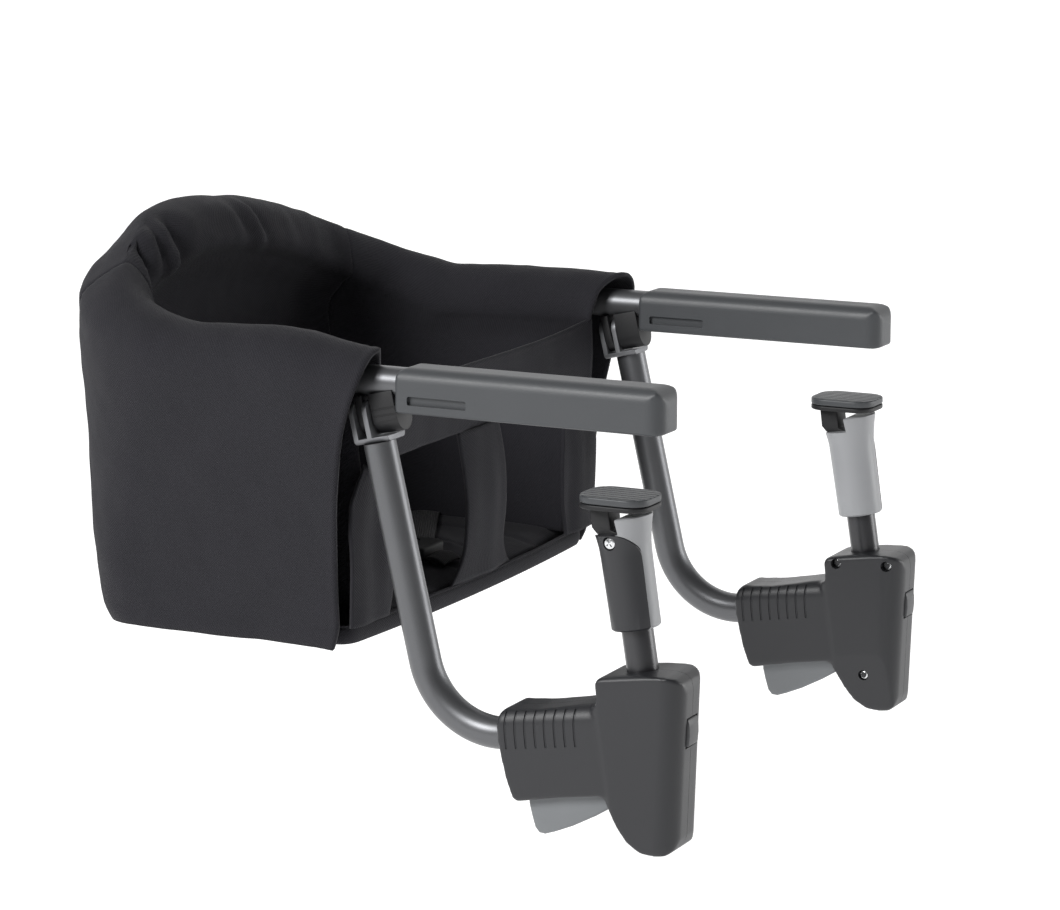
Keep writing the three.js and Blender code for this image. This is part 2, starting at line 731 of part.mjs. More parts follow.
// Trigger, its pin and its spring
function trigger() {
  const corner = [triggerPivotX - triggerBack, triggerPivotZ - triggerDrop];
  const points = outline(triggerOutlineShares, corner, [triggerLength, triggerDepth]);
  const solid = alongY(polygon(points), [-triggerWidth / 2, triggerWidth / 2]);
  const hole = pivotRod(triggerPinRadius + clearance, [-triggerWidth, triggerWidth]);
  const pocket = [triggerWidth / 2 - triggerSpringLength - clearance, triggerWidth];
  return solid.subtract(hole).subtract(pivotRod(triggerSpringRadius + clearance, pocket));
}

const pivotRod = (radius, ys) => rodAlongY(triggerPivotX, triggerPivotZ, radius, ys, screwSides);
const triggerPin = () => pivotRod(triggerPinRadius, [-triggerPinLength / 2, triggerPinLength / 2]);

function triggerSpring() {
  const coil = pivotRod(triggerSpringRadius, [triggerWidth / 2 - triggerSpringLength, triggerWidth / 2]);
  return coil.subtract(pivotRod(triggerPinRadius + clearance, [-triggerWidth, triggerWidth]));
}

function lockPlate() {
  const xs = [rodOffset - lockPlateLength / 2, rodOffset + lockPlateLength / 2];
  const zs = [lockPlateHeight - lockPlateThickness / 2, lockPlateHeight + lockPlateThickness / 2];
  const plate = box(xs, [-lockPlateWidth / 2, lockPlateWidth / 2], zs);
  const hole = [lockPlateHeight - lockPlateThickness, lockPlateHeight + lockPlateThickness];
  return plate.subtract(rodAlongZ(rodOffset, 0, rodRadius + clearance, hole, sleeveSides));
}

// Release button: a stem through the window and a flange behind the wall
const frontFaceX = (z) => frontTopX - (frontTopZ - z) * frontLeanShare;

function releaseButton() {
  const proud = (z) => frontFaceX(z) + buttonProud;
  const stem = polygon([
    [proud(buttonBottom) - buttonDepth, buttonBottom], [proud(buttonBottom), buttonBottom],
    [proud(buttonTop), buttonTop], [proud(buttonTop) - buttonDepth, buttonTop],
  ]);
  const low = buttonBottom - buttonFlange;
  const high = buttonTop + buttonFlange;
  const wallX = (z) => frontFaceX(z) - housingWall - clearance * 2;
  const flange = polygon([
    [wallX(low) - buttonFlangeThickness, low], [wallX(low), low],
    [wallX(high), high], [wallX(high) - buttonFlangeThickness, high],
  ]);
  const half = buttonWidth / 2;
  const solid = alongY(stem, [-half, half]);
  return solid.add(alongY(flange, [-half - buttonFlangeThickness, half + buttonFlangeThickness]));
}

// Rod and foot, in the foot frame: origin on the rod's axis at the sleeve's lower end
const clampRod = () => rodAlongZ(0, 0, rodRadius, [-sleeveBottom - rodBottom, rodTop], sleeveSides);

function sleeveBlank() {
  let solid = turned([
    [0, 0], [sleeveRadius, 0], [sleeveStraightRadius, sleeveStraight], [sleeveNeckRadius, sleeveNeckHeight],
    [sleeveTopRadius, sleeveTop], [0, sleeveTop],
  ], sleeveSides);
  const bore = [-overrun, rodTop + clearance];
  solid = solid.subtract(rodAlongZ(0, 0, rodRadius + clearance, bore, sleeveSides));
  const lugHalf = lugHalfWidth + lugGap;
  const wide = sleeveTopRadius * 2;
  const above = sleeveTop + overrun;
  solid = solid.subtract(box([-wide, lugPocketFront], [-lugHalf, lugHalf], [lugPocketFloor, above]));
  solid = solid.subtract(box([-wide, lugPocketFront], [-wide, wide], [earLedge, above]));
  const shank = [-footScrewSeat - overrun, footScrewTip + clearance];
  return solid.subtract(rodAlongY(-pivotBack, pivotHeight, footScrewRadius + clearance, shank, screwSides));
}

// The dark cover's outline from the side: a flat foot and a round front shoulder
function coverBounds(gap) {
  const wide = sleeveTopRadius;
  const radii = [0, 0, coverShoulder, 0];
  const face = roundedRectangle([-wide, wide], [-overrun, coverTop + gap], radii);
  return alongY(face, [-wide * 2, -coverEdge + gap]);
}

function footShell() {
  const seat = [-sleeveTopRadius * 2, -footScrewSeat];
  const spot = rodAlongY(-pivotBack, pivotHeight, footScrewHeadRadius + clearance, seat, screwSides * 2);
  return sleeveBlank().intersect(coverBounds(-clearance)).subtract(spot);
}

function footBoot() {
  return sleeveBlank().subtract(coverBounds(0));
}

function footScrew() {
  const head = [-footScrewSeat - clearance - footScrewHeadThickness, -footScrewSeat - clearance];
  const shank = rodAlongY(-pivotBack, pivotHeight, footScrewRadius, [head[0], footScrewTip], screwSides);
  return shank.add(rodAlongY(-pivotBack, pivotHeight, footScrewHeadRadius, head, screwSides));
}

// Tilting head and pad, in the head frame: origin on the screw, level with the table
function footHead() {
  const points = outline(earOutlineShares, [-earBack, -earFoot], [earLength, earHeight]);
  const lug = alongY(polygon(points), [-lugHalfWidth, lugHalfWidth]);
  const xs = [-headBack, headLength - headBack];
  const plan = roundedRectangle(xs, [-headWidth / 2, headWidth / 2], Array(4).fill(headCornerRadius));
  const plate = alongZ(plan, [headPlateRise, headPlateRise + headPlateThickness]);
  const hole = footScrewRadius + clearance;
  return lug.add(plate).subtract(rodAlongY(0, 0, hole, [-headWidth, headWidth], screwSides));
}

function footPad() {
  const xs = [-headBack, headLength - headBack];
  const plan = roundedRectangle(xs, [-headWidth / 2, headWidth / 2], Array(4).fill(headCornerRadius));
  const foot = headPlateRise + headPlateThickness + clearance;
  return alongZ(plan, [foot, foot + padThickness]);
}

// Fabric walls: a closed section of rings carried along the plan path
function puckerAt(u) {
  const half = u > 3 ? 6 - u : u;
  if (half < puckerStart || half > puckerEnd) return 0;
  const place = (half - puckerStart) / (puckerEnd - puckerStart);
  const wave = Math.sin(place * puckersPerCorner * Math.PI) ** 2;
  return puckerDepth * wave * Math.sin(place * Math.PI);
}

function ringPoint(ring, u) {
  const grown = { ...ring };
  const depth = (ring.pucker ?? 0) * puckerAt(u);
  grown.half += depth;
  grown.back += depth;
  grown.corner += depth;
  const [x, y] = planPoint(grown, u);
  return new THREE.Vector3(x, y, ring.height + ring.rise * hoopLift(u));
}

// Rings of the hidden face, one fabric thickness inside the section
function innerRings(rings, thickness) {
  return rings.map((ring, i) => {
    const before = rings[Math.max(i - 1, 0)];
    const after = rings[Math.min(i + 1, rings.length - 1)];
    const along = new THREE.Vector2(after.half - before.half, after.height - before.height).normalize();
    const inward = -along.y * thickness;
    return {
      half: ring.half + inward,
      back: ring.back + inward,
      corner: ring.corner + inward,
      height: ring.height + along.x * thickness,
      rise: ring.rise,
      front: ring.front,
    };
  });
}

// A closed body from stations of equal loops of points
function lofted(loops) {
  const count = loops[0].length;
  const points = loops.flat();
  const corners = [];
  for (let i = 0; i + 1 < loops.length; i += 1) {
    for (let j = 0; j < count; j += 1) {
      const a = i * count + j;
      const b = i * count + (j + 1) % count;
      corners.push(a, b, b + count, a, b + count, a + count);
    }
  }
  const last = (loops.length - 1) * count;
  for (let j = 0; j + 1 < count / 2; j += 1) {
    const k = count - 1 - j;
    corners.push(j, k, j + 1, j + 1, k, k - 1);
    corners.push(last + j, last + j + 1, last + k, last + j + 1, last + k - 1, last + k);
  }
  const geometry = new THREE.BufferGeometry().setFromPoints(points);
  geometry.setIndex(corners);
  return solidOf(geometry);
}

function wallPanel(start, end) {
  const shown = wallRings.map((ring) => ({
    ...ring,
    half: armHalfSpacing + ring.out,
    back: hoopBack + ring.behind,
    corner: hoopCornerRadius + ring.round,
  }));
  const section = [...shown, ...innerRings(shown, fabricThickness).reverse()];
  const places = hoopPlaces(start, end, wallDetail);
  return lofted(places.map((u) => section.map((ring) => ringPoint(ring, u))));
}

// Foam sleeve that fills the roll round the tube
function tubePadding() {
  const rings = [];
  for (let i = 0; i < paddingSides; i += 1) {
    const turn = (i + 0.5) / paddingSides * Math.PI * 2;
    const out = paddingRadius * Math.cos(turn);
    rings.push({
      half: armHalfSpacing + out,
      back: hoopBack + out,
      corner: hoopCornerRadius + out,
      height: paddingHeight + paddingRadius * Math.sin(turn),
      rise: 1,
      front: paddingFront,
    });
  }
  const sleeve = lofted(hoopPlaces(0, 6, wallDetail).map((u) => rings.map((ring) => ringPoint(ring, u))));
  return sleeve.subtract(hoopSolid(tubeRadius + paddingGap, paddingSides));
}

// Base of the seat
function basePoints(inset) {
  const half = baseHalfWidth - inset;
  const back = -baseBack + inset;
  const front = -baseFront - inset;
  const corner = Math.max(baseCornerRadius - inset, baseFrontRadius);
  const nose = Math.max(baseFrontRadius - inset, baseFrontRadius / 2);
  const shape = new THREE.Shape();
  shape.moveTo(back + corner, -half);
  shape.lineTo(front - nose, -half);
  shape.quadraticCurveTo(front, -half, front + baseFrontBow / 6, -half + nose);
  shape.quadraticCurveTo(front + baseFrontBow * 2, 0, front + baseFrontBow / 6, half - nose);
  shape.quadraticCurveTo(front, half, front - nose, half);
  shape.lineTo(back + corner, half);
  shape.absarc(back + corner, half - corner, corner, Math.PI / 2, Math.PI);
  shape.lineTo(back, -half + corner);
  shape.absarc(back + corner, -half + corner, corner, Math.PI, Math.PI * 1.5);
  return shape.getPoints(planSteps).slice(0, -1);
}

const basePlan = (inset) => new THREE.Shape(basePoints(inset));
const baseTop = baseBottom + hemHeight;

function baseCover() {
  const tray = alongZ(basePlan(0), [baseBottom, baseTop]);
  const hollow = alongZ(basePlan(coverThickness), [baseBottom + coverThickness, baseTop + overrun]);
  return tray.subtract(hollow);
}

const boardBottom = baseBottom + coverThickness + clearance;

function seatBoard() {
  return alongZ(basePlan(boardInset), [boardBottom, boardBottom + boardThickness]);
}

const padBottom = boardBottom + boardThickness + clearance;

// A loop of the base's plan at one height, drawn in by an inset
function planLoop(inset, height) {
  return basePoints(inset).map((point) => new THREE.Vector3(point.x, point.y, height));
}

// The cushion: a flat rim under the walls and a crown between them
function seatPad() {
  const rimTop = padBottom + padRim;
  const loops = [planLoop(padInset, padBottom), planLoop(padInset, rimTop), planLoop(padRimWidth, rimTop)];
  for (const [inset, height] of padCrownShares) {
    loops.push(planLoop(padRimWidth + inset * padCrownWidth, rimTop + height * padCrown));
  }
  return lofted(loops);
}

// Front band and crotch panel
function frontBand() {
  const edge = Array(4).fill(bandEdgeRadius);
  const face = roundedRectangle([-bandHalfWidth, bandHalfWidth], [bandTop - bandHeight, bandTop], edge);
  return alongX(face, [bandFront - bandThickness, bandFront]);
}

function legGusset() {
  const foot = baseTop + clearance;
  const top = bandTop - bandHeight - clearance;
  const rear = bandFront - bandThickness;
  return lofted(gussetShares.map(([height, inner, outer]) => {
    const z = THREE.MathUtils.lerp(foot, top, height);
    const near = gussetInner + inner * gussetWidth;
    const far = gussetInner + outer * gussetWidth;
    return [
      new THREE.Vector3(bandFront, near, z), new THREE.Vector3(bandFront, far, z),
      new THREE.Vector3(rear, far, z), new THREE.Vector3(rear, near, z),
    ];
  }));
}

function crotchPanel() {
  const foot = baseTop + clearance;
  const top = bandTop - bandHeight - clearance;
  const loops = [];
  for (let i = 0; i <= crotchSteps; i += 1) {
    const share = i / crotchSteps;
    const z = THREE.MathUtils.lerp(foot, top, share);
    const flare = crotchFlare * Math.max(1 - (z - foot) / crotchFlareHeight, 0) ** 2;
    const half = crotchHalfWidth + flare;
    const bulge = crotchBulge * Math.sin(share * Math.PI);
    const front = THREE.MathUtils.lerp(crotchFootX, crotchTopX, share) + bulge;
    const rear = front - crotchThickness;
    loops.push([
      new THREE.Vector3(front, -half, z), new THREE.Vector3(front, half, z),
      new THREE.Vector3(rear, half, z), new THREE.Vector3(rear, -half, z),
    ]);
  }
  return lofted(loops);
}

// Harness
const padTop = padBottom + padRim + padCrown;
const webbingBottom = padTop + harnessLift;
const webbingTop = webbingBottom + webbingThickness;

function crotchWebbing() {
  const front = crotchWebbingRoot;
  const rear = harnessPlace + buckleLength / 2 + clearance;
  return box([rear, front], [-webbingWidth / 2, webbingWidth / 2], [webbingBottom, webbingTop]);
}

function waistWebbing(side) {
  const start = new THREE.Vector2(harnessPlace, side * (buckleWidth / 2 + clearance));
  const end = new THREE.Vector2(waistRootX, side * waistRootY);
  const half = webbingWidth / 2;
  const points = [
    [start.x - half, start.y], [start.x + half, start.y], [end.x + half, end.y], [end.x - half, end.y],
  ];
  if (side < 0) points.reverse();
  return alongZ(polygon(points), [webbingBottom, webbingTop]);
}

function harnessBuckle() {
  const xs = [harnessPlace - buckleLength / 2, harnessPlace + buckleLength / 2];
  const plan = roundedRectangle(xs, [-buckleWidth / 2, buckleWidth / 2], Array(4).fill(buckleRadius));
  return alongZ(plan, [webbingBottom, webbingBottom + buckleThickness]);
}

// Assembly
const chair = new THREE.Group();

function addPiece(parent, name, solid, look, flip = false) {
  const geometry = geometryOf(solid);
  const mesh = new THREE.Mesh(flip ? mirrored(geometry) : geometry, new THREE.MeshStandardMaterial(look));
  mesh.name = name;
  parent.add(mesh);
}

function addFrame(parent, place, turn) {
  const frame = new THREE.Group();
  frame.position.set(...place);
  frame.rotation.y = turn;
  parent.add(frame);
  return frame;
}

function addSide(name, side) {
  const flip = side > 0;
  const outward = (distance) => side * distance;
  addPiece(chair, `${name}_grip`, grip(-1), gripRubber, flip);

  const hinge = addFrame(chair, [-hingePinBack, outward(armHalfSpacing), -hingePinDrop], -armLean);
  addPiece(hinge, `${name}_hinge_block`, hingeBlock(), blackPlastic, flip);
  addPiece(hinge, `${name}_hinge_fork`, hingeFork(), paleSteel, flip);
  addPiece(hinge, `${name}_hinge_pin`, hingePin(), bareSteel, flip);
  addPiece(hinge, `${name}_table_bumper`, tableBumper(), blackPlastic, flip);
  addPiece(hinge, `${name}_lower_arm`, lowerArm(armRadius), steel, flip);

  const clamp = addFrame(hinge, [clampX, outward(armOutset), clampZ], clampTurn);
  addPiece(clamp, `${name}_housing_outer`, housingHalf(-1), darkPlastic, flip);
  addPiece(clamp, `${name}_housing_inner`, housingHalf(1), darkPlastic, flip);
  for (const [place, point] of Object.entries(housingScrewPlaces)) {
    addPiece(clamp, `${name}_housing_screw_${place}`, housingScrew(point), bareSteel, flip);
  }
  addPiece(clamp, `${name}_trigger`, trigger(), palePlastic, flip);
  addPiece(clamp, `${name}_trigger_pin`, triggerPin(), bareSteel, flip);
  addPiece(clamp, `${name}_trigger_spring`, triggerSpring(), bareSteel, flip);
  addPiece(clamp, `${name}_lock_plate`, lockPlate(), bareSteel, flip);
  addPiece(clamp, `${name}_release_button`, releaseButton(), darkPlastic, flip);

  const foot = addFrame(clamp, [rodOffset, 0, sleeveBottom], 0);
  addPiece(foot, `${name}_clamp_rod`, clampRod(), steel, flip);
  addPiece(foot, `${name}_foot_boot`, footBoot(), palePlastic, flip);
  addPiece(foot, `${name}_foot_shell`, footShell(), darkPlastic, flip);
  addPiece(foot, `${name}_foot_screw`, footScrew(), bareSteel, flip);

  const head = addFrame(foot, [-pivotBack, 0, pivotHeight], armLean - clampTurn);
  addPiece(head, `${name}_foot_head`, footHead(), blackPlastic, flip);
  addPiece(head, `${name}_foot_pad`, footPad(), gripRubber, flip);
}

addPiece(chair, 'frame_tube', frameTube(), steel);
addPiece(chair, 'tube_padding', tubePadding(), foam);
addSide('right', -1);
addSide('left', 1);

const rightWall = wallPanel(0, seamPlace - seamGap);
addPiece(chair, 'seat_side_right', rightWall, fabric);
addPiece(chair, 'seat_side_left', rightWall, fabric, true);
addPiece(chair, 'seat_back', wallPanel(seamPlace, 6 - seamPlace), fabric);
addPiece(chair, 'base_cover', baseCover(), fabric);
addPiece(chair, 'seat_board', seatBoard(), board);
addPiece(chair, 'seat_pad', seatPad(), fabric);
addPiece(chair, 'front_band', frontBand(), fabric);
addPiece(chair, 'leg_gusset_left', legGusset(), fabric);
addPiece(chair, 'leg_gusset_right', legGusset(), fabric, true);
addPiece(chair, 'crotch_panel', crotchPanel(), fabric);
addPiece(chair, 'crotch_webbing', crotchWebbing(), webbing);
addPiece(chair, 'waist_webbing_right', waistWebbing(-1), webbing);
addPiece(chair, 'waist_webbing_left', waistWebbing(1), webbing);
addPiece(chair, 'harness_buckle', harnessBuckle(), blackPlastic);

export default chair;
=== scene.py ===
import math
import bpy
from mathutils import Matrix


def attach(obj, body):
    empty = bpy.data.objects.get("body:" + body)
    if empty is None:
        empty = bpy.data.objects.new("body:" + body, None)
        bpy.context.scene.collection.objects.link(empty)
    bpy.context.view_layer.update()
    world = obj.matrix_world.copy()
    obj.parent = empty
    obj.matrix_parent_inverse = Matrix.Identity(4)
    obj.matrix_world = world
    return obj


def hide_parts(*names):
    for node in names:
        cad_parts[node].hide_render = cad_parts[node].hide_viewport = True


bl_info = {
    "name": "Hook-on Table Chair",
    "version": (1, 0, 0),
    "blender": (4, 5, 0),
    "location": "View3D > Sidebar > Table Chair",
    "description": "Dresses the frame of a hook-on table chair, piece by piece",
    "category": "Add Mesh",
}

import bmesh
import bpy
import numpy as np
from bpy.props import FloatProperty, FloatVectorProperty, PointerProperty
from mathutils import Matrix, Vector, noise

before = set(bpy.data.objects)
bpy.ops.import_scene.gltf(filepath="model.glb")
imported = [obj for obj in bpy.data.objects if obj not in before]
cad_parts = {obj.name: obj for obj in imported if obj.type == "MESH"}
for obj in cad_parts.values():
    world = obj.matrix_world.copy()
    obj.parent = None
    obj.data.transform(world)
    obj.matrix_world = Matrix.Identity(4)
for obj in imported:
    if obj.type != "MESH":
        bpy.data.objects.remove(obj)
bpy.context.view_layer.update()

MM = 0.001
SIDES = ("right", "left")

# Camera: turns in radians, place and reach in metres, lens and sensor in millimetres
CAMERA_AZIMUTH = 0.4642
CAMERA_ELEVATION = 0.19446
CAMERA_PLACE = (0.99928, -2.00217, 0.38327)
CAMERA_LENS = 121.72
CAMERA_SENSOR = 36.0
CAMERA_REACH = 60

# Stage, in metres: a floor that bends up into a wall behind the chair
FLOOR_HEIGHT = -0.42
FLOOR_ENDS = (-6.0, 3.0)
FLOOR_WIDTH = 18
WALL_BEND = 1.6
WALL_TOP = 6.0
SKY_GLOW = 0.1
LIGHT_AIM = (0, 0, -0.08)
# The soft lights: place, size and share of the main light's power
LIGHTS = {
    "key": ((-1.1, -2.8, 1.85), 1.4, 1.1),
    "edge": ((2.4, 1.7, 0.35), 1.4, 0.32),
    "top": ((-0.2, -0.2, 2.6), 1.6, 0.04),
}

# Places and turns of the frames that the folding arms are built in. From here on lengths are
# in millimetres where no other unit is given, on the right side; the left side mirrors them
ARM_LEAN = math.radians(12.9)
ARM_BEND = math.radians(86)
CLAMP_TURN = math.pi / 2 - ARM_BEND
ARM_HALF = 170.0
ARM_OUTSET = 6.0
SHANK_TOP = -13.8
SHANK_FOOT = -147.3
BEND_RADIUS = 49.5
ARM_OFFSET = 7.4
CLAMP_AHEAD = 19.0
CLAMP_ABOVE = 1.9
ROD_OFFSET = 74.45
SLEEVE_BOTTOM = 58.0
PIVOT = (-3.0, 52.2)

# Frame tube
TUBE_RADIUS = 9.4
TUBE_HEIGHT = 15.8
HOOP_BACK = 235.0
HOOP_CORNER = 70.0
HOOP_RISE = 54.0
RISE_START = 140.0
RISE_SHARPNESS = 1.3
TUBE_ENTRY = 3.0
ARM_RADIUS = 9.8

# Foam on the hoop: its line's height and front ends, its radius, the share of it that stands
# inside the cover and the least share where the cover is drawn in
FOAM_HEIGHT = 17.4
FOAM_FRONT = -46.0
FOAM_RADIUS = 15.8
FOAM_SHARE = 0.92
FOAM_LEAST = 0.62

# Grips: their length over the table, their sides and their height
GRIP_LENGTH = 172.7
GRIP_SIDES = (-185, -155)
GRIP_HEIGHT = 27

# Seat cover: the rings of one section, from the outer hem over the tube and down inside:
# half width, back, corner, height, share of the hoop's rise, share of the puckers, front.
# Places round the hoop run from 0 at the right arm, over 1 and 2 at the ends of the right
# corner and 3 in the middle of the back, to 6 at the left arm
RINGS = np.array([
    (169, 222, 30, -151.2, 0, 0, -50), (171.5, 230.5, 36, -138, 0, 0, -45.5),
    (174.5, 237, 44, -106, 0, 0, -44.5), (180, 243, 60, -60, 0.1, 0, -41),
    (186, 249, 76, -20, 0.35, 0, -34.5), (190, 254, 88, 3, 0.75, 0, -27.5),
    (191, 256, 91, 17.4, 1, 0, -22.5), (189, 254, 87, 26, 1, 0, -19.5),
    (184, 249, 82, 33, 1, 0, -18), (177, 242, 76, 37.2, 1, 0.1, -18),
    (170, 235, 70, 38.4, 1, 0.3, -18), (162, 227, 62, 36.8, 1, 0.6, -22.3),
    (154, 219, 55, 31, 1, 1, -27), (149.8, 215, 52, 21, 1, 1, -29.6),
    (149.4, 214.5, 52, 12, 1, 0.8, -32), (151.5, 224, 54, 5, 0.95, 0.3, -38),
    (153.5, 236, 60, -13, 0.8, 0, -44.2), (148, 224, 52, -58, 0.35, 0, -44.2),
    (140, 208, 46, -105, 0.1, 0, -44.2), (133, 197, 40, -137.8, 0, 0, -44.2),
])
SEAM_PLACE = 1.6
SEAM_DEPTH = 0.6
COVER_THICKNESS = 2.4
COVER_PITCH = 3.2
PUCKER_DEPTH = 2.6
# Hems: width, lift and depth of the stitched groove, which runs a little inside the width
HEM_GROOVE = 2.2
FRONT_HEM = (9, 0.8, 0.9)
BOTTOM_HEM = (11, 0.8, 0.9)
GUSSET_HEM = (5, 0.4, 0.35)
BAND_HEM = (7, 0.5, 0.45)
# Stitches: pitch, length and thickness, and the row where the front hem's place is measured
HEM_STITCH = (3.6, 2.6, 0.55)
TRAY_STITCH = (3.6, 2.6, 0.5)
SEWN_ROW = 40
# How much higher the rim stands than the tube's even rise, at places round the hoop
RIM_PLACES = (
    0, 0.1, 0.2, 0.3, 0.5, 0.7, 0.9, 1, 1.2, 1.4, 1.6, 1.8, 2, 2.2, 2.5, 3, 3.5, 4, 4.2, 4.5,
    4.8, 5, 5.5, 5.8, 6)
RIM_LIFTS = (
    -5.8, -3.3, -1, 1.3, 3, 2.2, 0.5, -0.3, -0.6, 1, 4, 6, 8.5, 10, 8.2, 0.7, -4, -6, -7.4, -8.9,
    -9, -7.5, -4, -4, -5.3)
# How far the roll's outer side is drawn in at two places of the hoop, ring by ring:
# place, depth and reach
TUCKS = ((1.8, 16.0, 0.4), (4.35, 9.0, 0.5))
TUCK_SHARES = (0, 0, 0, 0, 0, 0, 0.1, 0.65, 1, 1, 0.65, 0.25, 0, 0, 0, 0, 0, 0, 0, 0)

# Folds in the roll: hoop place and ring where each starts and ends, half width in hoop
# places and height
FOLDS = (
    (2.04, 11.2, 2.1, 15.0, 0.085, 6.0), (1.92, 10.8, 1.87, 13.8, 0.07, 4.5),
    (1.72, 11.0, 1.62, 13.6, 0.06, 3.0), (2.3, 11.4, 2.42, 13.4, 0.12, 1.2),
    (2.83, 11.6, 2.95, 14.0, 0.07, 1.6), (3.06, 11.2, 3.22, 14.2, 0.06, 2.8),
    (3.5, 11.6, 3.6, 13.6, 0.1, 0.8),
)
FOLD_SETTING = 1.2
# How far the roll's inner shoulder stands up at a place of the hoop: place, lift and reach,
# then the rings that it rises over and its share at each
SHOULDER = (4.8, 3.2, 0.5)
SHOULDER_RINGS = (8, 9, 11, 12.5, 14)
SHOULDER_SHARES = (-0.5, 0, 1, 1, 0)

# Base of the seat
BASE_BOTTOM = -151.2
BASE_TOP = -138.6
BASE_HALF = 164.6
BASE_BACK = 214.6
BASE_CORNER = 26.0
BASE_FRONT = 44.0
BASE_BOW = 6.0
BASE_NOSE = 14.0
# The tray's section: inset and height over its bottom, then inset and height over its top
TRAY_FOOT = ((2.4, 0), (0.9, 0.5), (0.1, 1.8), (-0.5, 4), (-0.7, 6.5))
TRAY_RIM = (
    (-0.4, -3.4), (0, -2.4), (0.5, -2), (0.1, -1.5), (0.1, -0.5), (0.9, -0.05), (2.2, -0.2),
    (2.6, -1.2), (2.6, -5))
# The cushion's section, inset and height over its own bottom, and the rows it is quilted in
CUSHION_BOTTOM = BASE_BOTTOM + 5.3
CUSHION_ROWS = (
    (6, 0), (3.4, 2.2), (3.2, 4.6), (6, 6.4), (30, 8), (60, 10.5), (90, 12), (118, 12.4))
QUILT_ROWS = (-95.0, -50.0, 0.0, 50.0, 95.0)
QUILT_DEPTH = 1.5
# How long the cushion swells, and how far it may move in all and along each axis, in metres
SWELL_STEPS = 20
SWELL_REACH = 0.004
SWELL_LIMITS = (0.0015, 0.0015, 0.003)

# Front panels: where they stand and how high they reach
PANEL_FRONT = -41.0
PANEL_BOTTOM = -138.3
PANEL_HEIGHT = 96.5
BAND_HALF = 151

# Harness: height that the straps and the buckle lie at, and the webbing's width
HARNESS_HEIGHT = BASE_BOTTOM + 18.8
WEBBING_WIDTH = 24

# Outlines below are in shares of their own width and height
HOUSING_OUTLINE = (
    (0.006, 0.762), (0, 0.67), (0.007, 0.559), (0.016, 0.453), (0.036, 0.351), (0.055, 0.325),
    (0.132, 0.333), (0.269, 0.343), (0.499, 0.345), (0.521, 0.324), (0.542, 0.268),
    (0.573, 0.176), (0.614, 0.089), (0.675, 0.03), (0.745, 0.005), (0.8, 0.003), (0.836, 0.024),
    (0.861, 0.078), (1, 0.882), (0.997, 0.931), (0.974, 0.961), (0.931, 0.98), (0.819, 0.995),
    (0.714, 1), (0.616, 0.998), (0.576, 0.989), (0.563, 0.96), (0.56, 0.87), (0.555, 0.846),
    (0.444, 0.843), (0.345, 0.835), (0.215, 0.829), (0.1, 0.836), (0.063, 0.844),
    (0.041, 0.838), (0.018, 0.814),
)
HOUSING_CORNER = (-17.2, -74.6)
HOUSING_SIZE = (122.2, 108.0)
HOUSING_HALF = 19.5
HOUSING_ROUNDS = 14
HOUSING_SCREWS = {"rearTop": (60.4, 28.4), "frontTop": (95.3, 24.4), "nose": (68.6, -48.1)}
SCREW_RECESS = 3.0
# The housing's front face: how far ahead it is at a height, and its slope; then the release
# button in it, the clamp's rod and the bore that the rod runs in
FRONT_EDGE = (105.0, 21)
FRONT_SLOPE = 0.1945
BUTTON_HEIGHTS = (-12.6, 3.9)
BUTTON_DEPTH = 5.5
ROD_RADIUS = 9.3
ROD_BORE = 9.6
TRIGGER_OUTLINE = (
    (0.012, 0.684), (0, 0.519), (0.011, 0.327), (0.03, 0.121), (0.069, 0.025), (0.135, 0),
    (0.25, 0.033), (0.469, 0.121), (0.752, 0.277), (0.945, 0.407), (0.986, 0.602), (1, 0.821),
    (0.968, 0.951), (0.89, 1), (0.789, 0.918),
)
TRIGGER_PIVOT = (44.2, -30.7)
TRIGGER_CORNER = (TRIGGER_PIVOT[0] - 50.3, TRIGGER_PIVOT[1] - 30.2)
TRIGGER_SIZE = (56.5, 36.4)
EAR_OUTLINE = (
    (0, 1), (0.077, 0.47), (0.206, 0.352), (0.368, 0.235), (0.545, 0.077), (0.679, 0.012),
    (0.809, 0), (0.928, 0.045), (1, 0.158), (1, 0.279), (0.856, 0.401), (0.66, 0.449),
    (0.593, 0.866), (0.584, 1),
)
EAR_CORNER = (-16.4, -4.9)
EAR_SIZE = (20.9, 24.7)

# The foot's sleeve: radius and height from its lower rim up, and the rod's end inside it
SLEEVE_PROFILE = (
    (0, 0), (13.3, 0), (14.3, 1), (14.4, 12), (14.6, 28), (14.8, 43), (15.1, 49), (15.8, 54),
    (16.8, 59.5), (17.9, 64), (18.1, 65.4), (17.4, 66), (0, 66),
)
SLEEVE_LEDGE = 38.6


# ---- settings ----
class SeatSettings(bpy.types.PropertyGroup):
    fabric_colour: FloatVectorProperty(
        name="Fabric Colour", description="Colour of the woven cover", subtype="COLOR",
        default=(0.0155, 0.0151, 0.0184), min=0, max=1)
    fold_depth: FloatProperty(
        name="Fold Depth", description="How deep the cover's soft folds are", subtype="DISTANCE",
        default=0.0012, min=0, max=0.004)
    weave_pitch: FloatProperty(
        name="Weave Pitch", description="Distance between the cover's threads",
        subtype="DISTANCE", default=0.0009, min=0.0003, max=0.004)


class ClampSettings(bpy.types.PropertyGroup):
    plastic_colour: FloatVectorProperty(
        name="Plastic Colour", description="Colour of the clamp housings", subtype="COLOR",
        default=(0.0178, 0.0183, 0.0208), min=0, max=1)
    voxel: FloatProperty(
        name="Voxel", description="Size of the voxels that the housing is moulded from",
        subtype="DISTANCE", default=0.0009, min=0.0005, max=0.002)
    tube_colour: FloatVectorProperty(
        name="Tube Colour", description="Colour of the painted tubes", subtype="COLOR",
        default=(0.118, 0.12, 0.126), min=0, max=1)


